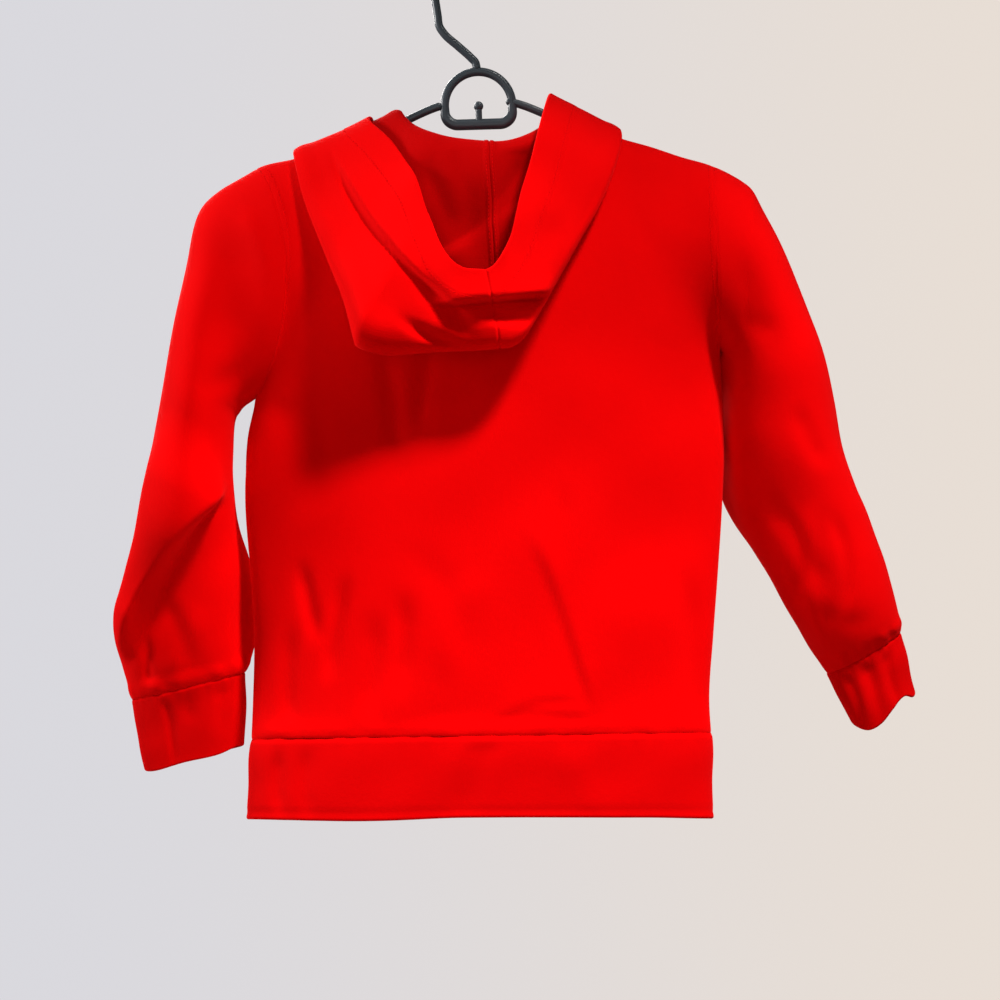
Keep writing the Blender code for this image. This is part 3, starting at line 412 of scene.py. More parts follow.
def fleece(name, base, deep, knit=1.1, nap=1.0):
    """Dye varies between two reds, with painted shade inside; bump adds the knit's columns and courses, and
    the nap.
    """
    material, tree, shader = new_material(name)
    place = wire(tree, "TexCoord")

    def noise(scale, detail, rough=0.5):
        return wire(tree, "TexNoise", ("Vector", place["Object"]), ("Scale", scale), ("Detail", detail),
                    ("Roughness", rough))["Fac"]

    def sums(operation, one, two):
        return wire(tree, "Math", (0, one), (1, two), operation=operation)["Value"]

    # dye: slow patches and small flecks of nap, and painted shade that darkens the inside faces
    patches, flecks = noise(*PATCHES), noise(*FLECKS)
    amount = sums("ADD", sums("MULTIPLY", patches, PATCH_SHARE), sums("MULTIPLY", flecks, FLECK_SHARE))
    dye = wire(tree, "Mix", ("Factor", amount), (6, (*deep, 1.0)), (7, (*base, 1.0)), data_type="RGBA")
    inside_faces = wire(tree, "Attribute", attribute_name="inside")
    shade = wire(tree, "Mix", ("Factor", inside_faces["Fac"]), (6, dye[2]), (7, INSIDE_PAINTED_SHADE), data_type="RGBA",
                 blend_type="MULTIPLY")

    # knit: columns along v and courses along u, in metres of cloth
    split = wire(tree, "SeparateXYZ", ("Vector", place["UV"]))

    def waves(axis, pitch):
        return sums("SINE", sums("MULTIPLY", split[axis], 2 * math.pi / (pitch * MM)), 0.0)

    courses = sums("MULTIPLY", waves("Y", COURSE_PITCH * knit), COURSE_HEIGHT)
    height = sums("MULTIPLY", sums("ADD", waves("X", knit), courses), KNIT_HEIGHT)
    height = sums("ADD", height, sums("MULTIPLY", noise(*FINE_NAP), FINE_HEIGHT * nap))
    height = sums("ADD", height, sums("MULTIPLY", noise(*COARSE_NAP), COARSE_HEIGHT * nap))
    bump = wire(tree, "Bump", ("Strength", BUMP_STRENGTH), ("Distance", BUMP_DEPTH), ("Height", height))
    feed(tree, shader, ("Base Color", shade[2]), ("Normal", bump["Normal"]), ("Roughness", 0.92),
         ("Specular IOR Level", 0.1), ("Specular Tint", (1.0, 0.05, 0.05, 1.0)), ("Sheen Weight", 0.35),
         ("Sheen Roughness", 0.45), ("Sheen Tint", (1.0, 0.02, 0.02, 1.0)))
    return material


red_fleece = fleece("red_fleece", (0.86, 0.0005, 0.001), (0.74, 0.0, 0.0005))
# painted shade: the bands get a darker red than the body's fleece, for the shade on the cuffs and hem band
red_band_painted_shade = fleece("red_band_painted_shade", (0.74, 0.0005, 0.001), (0.62, 0.0, 0.0005), knit=0.9, nap=0.7)
red_thread = fleece("red_thread", (0.80, 0.001, 0.002), (0.62, 0.0, 0.001), knit=0.4, nap=0.4)
print("cloth materials:", red_fleece.name, red_band_painted_shade.name, red_thread.name)

# %% [markdown]
# ## Sleeves
#
# A sleeve is one panel sewn into a tube. It is carried here as a row of rings: each ring is an ellipse
# between its outer and inner points, which follow the way the sleeve hangs. The first ring is the armhole
# and the last one meets the cuff. A row of the table is one section.

# %% Sleeve sizes
SLEEVE_LEFT = [  # station, outer_x, outer_z, inner_x, inner_z, half_depth, shift_y, bow
    (0, -170.6, -167.8, -172.1, -347.8, 35, 0, 28),
    (1, -184.7, -176.4, -174, -349.5, 36.5, 0, 21),
    (2, -201, -186.8, -175.5, -351, 38, 0, 14),
    (3, -213, -198.7, -177.3, -352.5, 39.5, 0, 9),
    (4, -219.8, -215, -179, -354, 41, 0, 5),
    (5, -224.8, -240.9, -181.2, -356.5, 43, 0, 2),
    (6, -230.3, -270.8, -183.1, -359.6, 45.5, 0, 0),
    (7, -235.8, -302.2, -185.5, -363.6, 48, 0, 0),
    (8, -242.1, -337.6, -187.1, -373, 50.5, 0, 0),
    (9, -250, -379.2, -187.9, -396.5, 51, 1, 0),
    (10, -257, -416.2, -187.9, -424, 49, 2, 0),
    (11, -262.5, -453.1, -185.5, -451.6, 45.5, 3, 0),
    (12, -271.2, -484.6, -180.8, -476.7, 38, 5, 0),
    (13, -279.6, -516, -179.2, -505, 33, 6.5, 0),
    (14, -281.7, -539.6, -179.2, -530.2, 29, 7.5, 0),
    (15, -277.5, -560, -179.5, -549, 24.5, 8.5, 0),
    (16, -270.9, -586, -180.5, -564, 17.5, 9, 0),
    (17, -267, -610, -180.4, -583.5, 14, 9.5, 0),
    (18, -260.9, -643.5, -182.4, -622.5, 11, 12, 0)]
SLEEVE_RIGHT = [  # station, outer_x, outer_z, inner_x, inner_z, half_depth, shift_y, bow
    (0, 187.9, -166.2, 193.4, -311.6, 40, 0, 5),
    (1, 199.6, -171.7, 194.1, -312.4, 41, 0, 4),
    (2, 210.6, -178.2, 195, -313.3, 42, 0, 3),
    (3, 218.5, -185.5, 196, -314.6, 43, 0, 2),
    (4, 226.4, -201, 197, -316.2, 44, 0, 1),
    (5, 238.2, -224.4, 198, -318.3, 45, 0, 0),
    (6, 250.7, -252.7, 199, -321.5, 46, 0, 0),
    (7, 261.7, -280.2, 199.8, -327.8, 46.5, 0, 0),
    (8, 272, -310.1, 200.7, -340.5, 46.5, 0, 0),
    (9, 283, -351.7, 201.3, -366, 45.5, 1, 0),
    (10, 289.6, -388, 201.8, -394, 43.5, 2, 0),
    (11, 299, -415, 202.5, -421, 41, 3, 0),
    (12, 309, -436, 209.5, -447, 38.5, 4, 0),
    (13, 317, -457, 220.5, -468.5, 36.5, 5, 0),
    (14, 323.8, -475.2, 231.9, -488.5, 34.5, 6, 0),
    (15, 330.1, -497.2, 243.7, -511.3, 32.5, 7, 0),
    (16, 334.3, -513, 255.5, -530.2, 29.5, 8, 0),
    (17, 336.6, -524, 266.5, -547.5, 25, 8.5, 0),
    (18, 337.4, -532.5, 279, -565.5, 18, 9, 0),
    (19, 342.5, -553, 288, -585, 16.5, 9, 0),
    (20, 348.5, -578.5, 300, -606, 15, 9, 0)]
CUFF_SEAM_LEFT, CUFF_SEAM_RIGHT = 16, 18
RING_POINTS, RINGS_PER_STATION = 132, 10
RING_TURNS = np.linspace(0.0, 2 * math.pi, RING_POINTS + 1)[:-1]
LEFT_BACK = [
    (-194, -448, -256, -536, -6, 42, 4.5),
    (-256, -536, -254, -572, -0.7, 10, 2.4),
    (-181, -416, -180, -556, 0.5, 14, 3),
    (-177, -204, -142, -267, 0.1, 18, -2.2),
    (-188, -226, -191, -310, 6.1, 34, 3),
    (-142, -321, -183, -361, 2.5, 14, 2.6),
    (-156, -299, -197, -343, 4.3, 18, 2),
    (-216, -512, -236, -566, 2, 26, -1.8),
    (-246, -504, -221, -568, 7.7, 18, 1.6)]
RIGHT_BACK = [
    (185, -290, 201, -312, -2, 12, 1.8),
    (189, -276, 230, -299, -5.9, 20, 1.2),
    (198, -245, 234, -321, -0.9, 34, 2.6),
    (246, -360, 268, -401, -0.9, 16, 1.8),
    (245, -443, 250, -507, 5.8, 13, 2),
    (278, -443, 284, -513, 6.5, 13, 2.2),
    (226, -428, 276, -501, -0.6, 18, 1.8),
    (262, -510, 309, -522, -6, 18, 0.8),
    (195, -321, 198, -420, -3.7, 12, 2.4)]
LEFT_TUCKS = [  # the upper arm lies over the forearm
    (-268, -542, -182, -414, 8, 22, 6.5, 90)]
RIGHT_TUCKS = [
    (276, -540, 262, -440, 6, 3, 6, 22)]
LEFT_FRONT = [
    (-185, -400, -262, -500, -10, 18, 5),
    (-188, -440, -250, -540, -6, 20, 3),
    (-190, -230, -196, -320, 5, 30, 3),
    (-215, -300, -205, -390, -6, 24, 2.2),
    (-240, -520, -215, -575, 6, 14, 2.2)]
RIGHT_FRONT = [
    (205, -400, 285, -450, -10, 18, 4.5),
    (225, -440, 300, -500, -8, 18, 3.4),
    (205, -240, 226, -320, 3, 30, 2.8),
    (240, -300, 250, -390, -5, 22, 2),
    (280, -500, 300, -545, 5, 12, 2.2)]

print("sections of the sleeves:", len(SLEEVE_LEFT), "and", len(SLEEVE_RIGHT))

# %% Sleeve rings


def sleeve_rings(table, stations, turns, inset=0.0):
    """Ellipses from outer to inner point. Turn 0 is the top, pi the underarm; the back half comes first."""
    row = smooth(table, stations)
    flat = np.zeros(len(row))
    outer, inner = np.stack([row[:, 0], flat, row[:, 1]], -1), np.stack([row[:, 2], flat, row[:, 3]], -1)
    half = 0.5 * np.linalg.norm(outer - inner, axis=-1)[:, None, None]
    up = unit(outer - inner)[:, None, :]
    centre = 0.5 * (outer + inner)[:, None, :]
    depth, shift = row[:, 4][:, None, None], row[:, 5][:, None, None]
    bow = row[:, 6][:, None, None] * -math.copysign(1.0, table[0][1])
    turn = np.asarray(turns, float)[None, :, None]
    back = -np.sin(turn)
    return (centre + (half - inset) * np.cos(turn) * up
            + ((depth - inset) * back + shift) * np.array([0.0, 1.0, 0.0])
            + bow * np.abs(back) ** 1.5 * np.array([1.0, 0.0, 0.0]))


def armhole(table, turns):
    """The armhole's outer loop and its inner loop, one wall further in, shared by sleeve and panels."""
    outer = sleeve_rings(table, [0.0], turns)[0]
    inner = sleeve_rings(table, [0.0], turns, WALL)[0]
    to_body = np.array([-math.copysign(1.0, table[0][1]), 0.0, 0.0])
    underarm = np.clip(-np.cos(np.asarray(turns)), 0.0, 1.0)[:, None] ** 4
    direction = unit(unit(inner - outer) + underarm * to_body)
    return outer, outer + direction * WALL


LEFT_LEAN = [  # station, how far the sleeve's far side leans over to the body
    (0, 0), (10.5, 0), (12.5, 6), (14.5, 6.5), (16, 0), (20, 0)]
RIGHT_LEAN = [  # station, how far the sleeve's far side leans over to the body
    (0, 0), (1.5, 0), (3, 7), (5, 14), (6.2, 16), (8, 14), (10, 11), (11.2, 9), (13, 0), (20, 0)]
FAR_SIDE, FAR_SIDE_SPREAD = math.pi + 0.38, 0.36
GATHER_HEIGHT, GATHER_FROM_CUFF, GATHER_SPREAD = 0.9, 7.0, 6.0


def make_sleeve(side, table, seam, back_folds, back_tucks, front_folds, lean, seed):
    """Rings from armhole to cuff seam, leant, creased and gathered, with the armhole's wall at the top."""
    near = (0.02, 0.045, 0.08, 0.13)
    stations = marks(seam, RINGS_PER_STATION, near, near)
    outer = sleeve_rings(table, stations, RING_TURNS)
    far_side = np.exp(-((RING_TURNS - FAR_SIDE) / FAR_SIDE_SPREAD) ** 2)
    outer[..., 0] -= math.copysign(1.0, table[0][1]) * smooth(lean, stations) * far_side
    middle = outer.mean(axis=1, keepdims=True)
    normal = facing(grid_directions(outer, closed=True), outer - middle)
    x, z = outer[..., 0], outer[..., 2]
    behind, before = back_and_front(normal, 0.45)
    from_top, from_cuff = along(outer), along_back(outer)
    fade = step(*CALM["armhole"], from_top) * step(*CALM["cuff"], from_cuff)
    relief = folds(back_folds, x, z) * behind + folds(front_folds, x, z) * before
    relief -= tucks(back_tucks, x, z) * step(0.22, 0.8, -normal[..., 1])
    relief += unevenness(x, z, seed, 90.0, 0.9) * behind + unevenness(x, z, seed + 1, 80.0, 1.0) * before
    relief = relief * fade + seam_groove(from_top, "armhole") + seam_groove(from_cuff, "cuff")
    # the sleeve is a little fuller than its cuff and bulges over the seam in small gathers
    gathers = 1.0 + 0.45 * np.sin(11 * RING_TURNS + seed) + 0.3 * np.sin(17 * RING_TURNS + 2.0)
    relief -= GATHER_HEIGHT * gathers * np.exp(-((from_cuff - GATHER_FROM_CUFF) / GATHER_SPREAD) ** 2)
    outer = outer - normal * relief[..., None]
    normal = facing(grid_directions(outer, closed=True), outer - middle)
    hole_out, hole_in = armhole(table, RING_TURNS)
    at_hole = (1 - step(0.0, 0.8, stations))[:, None, None]
    way_in = unit(-normal * (1 - at_hole) + unit(hole_in - hole_out)[None] * at_hole)
    return cloth("sleeve_" + side, outer, outer + WALL * way_in, red_fleece, closed=True)


sleeve_left = make_sleeve(
    "left", SLEEVE_LEFT, CUFF_SEAM_LEFT, LEFT_BACK, LEFT_TUCKS, LEFT_FRONT, LEFT_LEAN, 3)
sleeve_right = make_sleeve(
    "right", SLEEVE_RIGHT, CUFF_SEAM_RIGHT, RIGHT_BACK, RIGHT_TUCKS, RIGHT_FRONT, RIGHT_LEAN, 8)

# %% [markdown]
# ## Cuffs
#
# A cuff is a band folded double and sewn to the sleeve, so it is thicker, smoother and a little tighter.
# Its end is a fold, which the wall's rounding gives. The left cuff hangs flat and the right one is crumpled
# in.

# %% Cuffs
CUFF_LEFT_FOLDS = [
    (-246, -572, -236, -634, 2, 7, 1.4),
    (-222, -568, -224, -600, -2, 12, 1),
    (-198, -566, -200, -610, 2, 14, 1.2)]
CUFF_RIGHT_FOLDS = [
    (300, -545, 318, -600, 3, 12, 3.2),
    (322, -540, 334, -590, -2, 9, 2.2),
    (288, -560, 304, -604, 3, 8, 1.6)]

CUFF_LEFT_END = [  # share of the turn from the top, how far the end hangs lower
    (0, -1), (0.12, 1.2), (0.22, 0.3), (0.34, 1.4), (0.42, -0.8), (0.5, 0.4), (0.7, 1), (1, -1)]
CUFF_RIGHT_END = [  # share of the turn from the top, how far the end hangs lower
    (0, 1), (0.08, 3), (0.15, -2), (0.22, 1.5), (0.3, 7.5), (0.38, 8), (0.45, 3), (0.5, -1), (0.7, 2),
    (1, 1)]
PUCKER_HEIGHT, PUCKER_REACH = 0.5, 7.0


def make_cuff(side, table, seam, own_folds, end_shape, seed):
    """Rings on from the seam, a thread's width off the sleeve, puckered there and rounded at the fold."""
    length = table[-1][0] - seam
    near_seam, near_fold = (0.01, 0.025, 0.045, 0.07, 0.1), (0.004, 0.012, 0.024, 0.04, 0.07, 0.1)
    stations = seam + marks(length, 18, near_seam, near_fold)
    outer = sleeve_rings(table, stations, RING_TURNS)
    away = unit(outer.mean(axis=1)[1] - outer.mean(axis=1)[0]) * GAP
    outer = outer + away * np.exp(-along(outer) / GAP_REACH)[..., None]
    lower = smooth(end_shape, RING_TURNS / (2 * math.pi))[:, 0]
    share_down = (stations - seam)[:, None] / length
    outer = outer + (lower * share_down**2)[..., None] * unit(outer[-1:] - outer[-12:-11])
    from_seam, from_end = along(outer), along_back(outer)
    middle = outer.mean(axis=1, keepdims=True)
    normal = facing(grid_directions(outer, closed=True), outer - middle)
    x, z = outer[..., 0], outer[..., 2]
    behind, before = back_and_front(normal, 0.5)
    relief = folds(own_folds, x, z) * (behind + 0.7 * before) * step(2.0, 14.0, from_seam)
    relief += unevenness(x, z, seed, 45.0, 0.5)
    puckers = 0.5 * np.sin(23 * RING_TURNS + seed) + 0.35 * np.sin(37 * RING_TURNS)
    relief += seam_groove(from_seam, "cuff") + PUCKER_HEIGHT * puckers * np.exp(-from_seam / PUCKER_REACH)
    outer = outer - normal * relief[..., None]
    normal = facing(grid_directions(outer, closed=True), outer - middle)
    centre = outer - 0.5 * BAND_WALL * normal
    half = 0.5 * BAND_WALL * rounded(from_end, BAND_WALL)[..., None] * normal
    return cloth("cuff_" + side, centre + half, centre - half, red_band_painted_shade, "rib", closed=True)


cuff_left = make_cuff("left", SLEEVE_LEFT, CUFF_SEAM_LEFT, CUFF_LEFT_FOLDS, CUFF_LEFT_END, 21)
cuff_right = make_cuff("right", SLEEVE_RIGHT, CUFF_SEAM_RIGHT, CUFF_RIGHT_FOLDS, CUFF_RIGHT_END, 22)

# %% [markdown]
# ## Back and front
#
# Each panel runs from the hem seam to the shoulders, cut away for the armholes and the neck. Its grid keeps
# its rows level and draws its outer columns onto the side seam and the armhole, and its top row onto the
# shoulder and the neck. Below the armpit its section is half of a superellipse, so the body is flat with
# rounded sides. At the armpit the points are drawn to the places between their neighbours, again and again,
# until the cloth lies evenly.

# %% Panel sizes
SIDE_SEAMS = [  # z, left x, right x
    (-614, -174.5, 186.3), (-589, -173.5, 184.7), (-533, -172.5, 187.9), (-491, -175, 191),
    (-429, -179.5, 194.9), (-378, -178, 196.5), (-347.8, -172.1, 195.5), (-311.6, -172, 193.4)]
SEAM_PLACES = [(-z, left_x, right_x) for z, left_x, right_x in SIDE_SEAMS[::-1]]
HEM_SEAM_LEFT, HEM_SEAM_RIGHT, HEM_BACK_LIFT = -616.0, -611.0, 5.5
ARMPIT_SHARE, SIDE_ROWS, ARMHOLE_ROWS, SHOULDER_CELLS = 0.635, 10, 11, 5
ROWS_PER_CELL, COLUMNS_PER_CELL, RELAX_STEPS = 8, 6, 700
NECK_X, NECK_LEFT, NECK_RIGHT, NECK_BACK, NECK_FRONT = 12.0, 84.0, 66.0, 72.0, -97.0
BACK_NECK_SHARES = (0.0, 0.035, 0.085, 0.16, 0.26, 0.38, 0.51, 0.64, 0.77, 0.89, 1.0)
FRONT_NECK_SHARES = (0.0, 0.035, 0.08, 0.145, 0.24, 0.38, 0.56, 0.77, 1.0)
SHOULDER_ANGLE = math.degrees(math.acos((NECK_BACK + NECK_FRONT) / (NECK_FRONT - NECK_BACK)))
BACK_ANGLES = SHOULDER_ANGLE * (1 - np.asarray(BACK_NECK_SHARES))
FRONT_ANGLES = SHOULDER_ANGLE + (180.0 - SHOULDER_ANGLE) * np.asarray(FRONT_NECK_SHARES)
BACK_FOLDS = [
    (-133, -480, -120, -534, -0.4, 13, 2.4),
    (-99, -492, -112, -562, -1.6, 14, 3),
    (-53, -505, -58, -570, 1.5, 16, 2.5),
    (-140, -530, -143, -600, -2.3, 15, 2.4),
    (-76, -520, -84, -592, 2, 18, 2),
    (-42, -470, -1, -560, 9.3, 26, 1.2),
    (20, -597, 81, -585, 5, 10, 1.2),
    (24, -604, 84, -598, 4, 8, 1.1),
    (165, -489, 173, -602, 2.5, 22, 2.2),
    (-68, -318, -58, -405, 2, 16, 1.5),
    (-34, -318, -40, -372, -2, 14, 1.2),
    (70, -420, 66, -480, 2, 16, 0.9),
    (-150, -340, -124, -430, 8, 34, 2.4),
    (0, -490, -20, -560, -6, 26, -1.4)]
BACK_TUCKS = [  # the pocket behind presses through
    (47, -462, 88, -580, 3, 3, 4, 26),
    (18, -594, 86, -592, 3, 1.8, 2.5, 12)]
FRONT_FOLDS = [
    (-150, -330, -95, -410, 10, 26, 3.6),
    (165, -300, 105, -390, -10, 26, 3.6),
    (-40, -330, -62, -440, 8, 22, 2.6),
    (60, -300, 70, -430, -8, 24, 2.4),
    (150, -470, 140, -580, 5, 18, 3),
    (-130, -480, -140, -590, -5, 16, 2.6),
    (100, -250, 60, -300, -6, 24, 1.8)]

print("creases on the back and the front:", len(BACK_FOLDS), "and", len(FRONT_FOLDS))

# %% Panels


def neck_point(angle, right):
    """The neck seam, an ellipse in x and tape distance, at an angle in degrees from the back."""
    turn = np.radians(angle)
    x = NECK_X + np.where(right, NECK_RIGHT, -NECK_LEFT) * np.sin(turn)
    return x, 0.5 * (NECK_BACK + NECK_FRONT) + 0.5 * (NECK_BACK - NECK_FRONT) * np.cos(turn)


def section_share(place):
    """Share of the width at a place from 0 to 1 round a superellipse's half."""
    turn = math.pi * (np.asarray(place) - 0.5)
    return 0.5 + 0.5 * np.sign(np.sin(turn)) * np.abs(np.sin(turn)) ** (2 / SECTION_POWER)


def section_depth(share):
    """Share of the full depth at a share of the width."""
    across = np.clip(np.abs(2 * share - 1), 0.0, 1.0)
    return (1 - across**SECTION_POWER) ** (1 / SECTION_POWER)


def seams_x(z):
    """x of the left and of the right side seam at a height."""
    z = np.asarray(z, float)
    return smooth(SEAM_PLACES, -z.ravel()).reshape(*z.shape, 2)


def panel_columns(front):
    """Number of cells along the neck, and the places of the columns over it and both shoulders."""
    neck_cells = 2 * (len(FRONT_ANGLES if front else BACK_ANGLES) - 1)
    near = (0.02, 0.05, 0.09, 0.14, 0.2, 0.28)
    return neck_cells, marks(2 * SHOULDER_CELLS + neck_cells, COLUMNS_PER_CELL, near, near)


def panel_top(front, neck_cells, column):
    """The top edge over shoulder, neck and shoulder: x, z, the neck seam, where it is, and the way in."""
    at = column - SHOULDER_CELLS
    half = neck_cells / 2
    near = np.clip(np.minimum(at, neck_cells - at), 0, half)
    angle = np.interp(near, np.arange(half + 1), FRONT_ANGLES if front else BACK_ANGLES)
    neck_x, neck_down = neck_point(angle, at > half)
    left_end, right_end = SLEEVE_LEFT[0][1] + GAP, SLEEVE_RIGHT[0][1] - GAP
    left_run = left_end + (neck_x[0] - left_end) * column / SHOULDER_CELLS
    right_run = neck_x[-1] + (right_end - neck_x[-1]) * (at - neck_cells) / SHOULDER_CELLS
    x = np.where(at < 0, left_run, np.where(at > neck_cells, right_run, neck_x))
    in_neck = (at >= 0) & (at <= neck_cells)
    neck = carrier(neck_x, neck_down, 0.0)
    z = np.where(in_neck, neck[:, 2], ridge_z(x))
    way_in = np.where(in_neck[:, None], carrier(neck_x, neck_down, -WALL) - neck, [0.0, 0.0, -WALL])
    return x, z, neck, in_neck, way_in


def panel_side(front, table, side, foot_z, row):
    """A side edge, outside and inside: the side seam up to the armpit, then the armhole's half."""
    turns = math.pi * (1 - np.clip((row - SIDE_ROWS) / ARMHOLE_ROWS, 0.0, 1.0))
    loop, loop_in = armhole(table, 2 * math.pi - turns if front else turns)
    loop, loop_in = loop - [side * GAP, 0.0, 0.0], loop_in - [side * GAP, 0.0, 0.0]
    armpit = loop[np.argmin(np.abs(row - SIDE_ROWS))]
    low = np.clip(row / SIDE_ROWS, 0.0, 1.0)
    z = foot_z + (armpit[2] - foot_z) * low
    which = 0 if side < 0 else 1
    x = seams_x(z)[:, which]
    x = x + (armpit[0] - seams_x(armpit[2])[which]) * low**2
    seam = np.stack([x, np.zeros_like(x), z], -1)
    below = (row < SIDE_ROWS)[:, None]
    return np.where(below, seam, loop), np.where(below, seam - [side * WALL, 0.0, 0.0], loop_in)


def straight_above(edge, row):
    """x of a side edge, with the armhole replaced by a straight line."""
    armpit, top = edge[np.argmin(np.abs(row - SIDE_ROWS))], edge[-1]
    climb = (edge[:, 2:] - armpit[2]) / (top[2] - armpit[2])
    return np.where((row >= SIDE_ROWS)[:, None], armpit[0] + (top[0] - armpit[0]) * climb, edge[:, :1])


def softened(values, heights, z, reach):
    """The mean of a side's values over a reach above and below z, from their running integral."""
    heights = np.concatenate([[heights[0] - 500.0], heights, [heights[-1] + 500.0]])
    values = np.concatenate([values[:1], values, values[-1:]])
    integral = np.concatenate([[0.0], np.cumsum(0.5 * (values[1:] + values[:-1]) * np.diff(heights))])
    return (np.interp(z + reach, heights, integral) - np.interp(z - reach, heights, integral)) / (2 * reach)


def panel_depth(share, x, z, left_edge, right_edge):
    """The carrier's depth, less the rounding of the sides: slow over the chest, quick along the armhole."""
    deep = carrier_depth(x, z)
    near_edge = np.clip(np.abs(2 * share - 1), 0.0, 1.0) ** 7
    wide = (1 - section_depth(share)) - near_edge
    edge_deep = np.where(share < 0.5, deep[:, :1], deep[:, -1:])
    reach = np.clip(0.9 * np.minimum(share, 1 - share) * (right_edge[0, 0] - left_edge[0, 0]), 0.3, 60.0)
    from_ridge = np.exp((z - z[-1:]) / 12.0)

    def more(edge, column):
        extra = softened(np.abs(edge[:, 1]) - deep[:, column], edge[:, 2], z, reach)
        return extra - extra[-1:] * from_ridge

    armpit_z = np.where(share < 0.5, SLEEVE_LEFT[0][4], SLEEVE_RIGHT[0][4])
    chest = 1 - step(-30.0, 100.0, z - armpit_z)
    side_more = np.where(share < 0.5, more(left_edge, 0), more(right_edge, -1))
    return np.maximum(deep + side_more * near_edge - edge_deep * wide * chest, 0.0)


def relax(points, down, across, share, steps):
    """Draws each point to the places between its neighbours, again and again, as cloth does when pulled."""
    up = ((down[1:-1] - down[:-2]) / (down[2:] - down[:-2]))[:, None, None]
    side = ((across[1:-1] - across[:-2]) / (across[2:] - across[:-2]))[None, :, None]
    share = share[1:-1, 1:-1, None]
    points = points.copy()
    for _ in range(steps):
        rows = points[:-2, 1:-1] * (1 - up) + points[2:, 1:-1] * up
        columns = points[1:-1, :-2] * (1 - side) + points[1:-1, 2:] * side
        points[1:-1, 1:-1] += share * (0.5 * (rows + columns) - points[1:-1, 1:-1])
    return points


def relax_armpits(outer, row, column):
    """Relaxes the cloth round both armpits, wholly there and less and less away from them."""
    low_row, high_row = np.searchsorted(row, (SIDE_ROWS - 3.0, SIDE_ROWS + 7.0))
    for from_side in (column, column[-1] - column):
        near_side = np.flatnonzero(from_side < 9.0)
        block = slice(low_row, high_row), slice(near_side[0], near_side[-1] + 1)
        window = (np.exp(-((row[block[0]] - SIDE_ROWS - 1.6) / 3.0) ** 4)[:, None]
                  * (1 - step(4.5, 8.5, from_side[block[1]]))[None, :])
        outer[block] = relax(outer[block], row[block[0]], column[block[1]], window, RELAX_STEPS)


PANEL_GATHERS = [(0.4, 6.3, 0.0), (0.35, 4.1, 1.0)]
PANEL_GATHER_HEIGHT, PANEL_GATHER_FROM_HEM, PANEL_GATHER_SPREAD = 0.45, 6.0, 5.0


def panel_relief(front, outer, x, z):
    """How far the cloth sinks: folds, unevenness, seams, and the small gathers over the hem seam."""
    from_side = np.minimum(along(outer, 1), along_back(outer, 1))
    from_hem, from_top = along(outer), along_back(outer)
    fade = step(*CALM["side"], from_side) * step(*CALM["hem"], from_hem) * step(*CALM["top"], from_top)
    relief = folds(FRONT_FOLDS, x, z) if front else folds(BACK_FOLDS, x, z) - tucks(BACK_TUCKS, x, z)
    relief += unevenness(x, z, *UNEVEN["front" if front else "back"])
    relief = relief * fade + seam_groove(from_side, "armhole") + seam_groove(from_hem, "hem")
    gathers = PANEL_GATHER_HEIGHT * ripple(x, PANEL_GATHERS, level=1.0)
    gathers *= np.exp(-((from_hem - PANEL_GATHER_FROM_HEM) / PANEL_GATHER_SPREAD) ** 2)
    relief -= gathers * step(2.0, 20.0, from_side)
    return relief * step(0.0, 2.0, from_top)


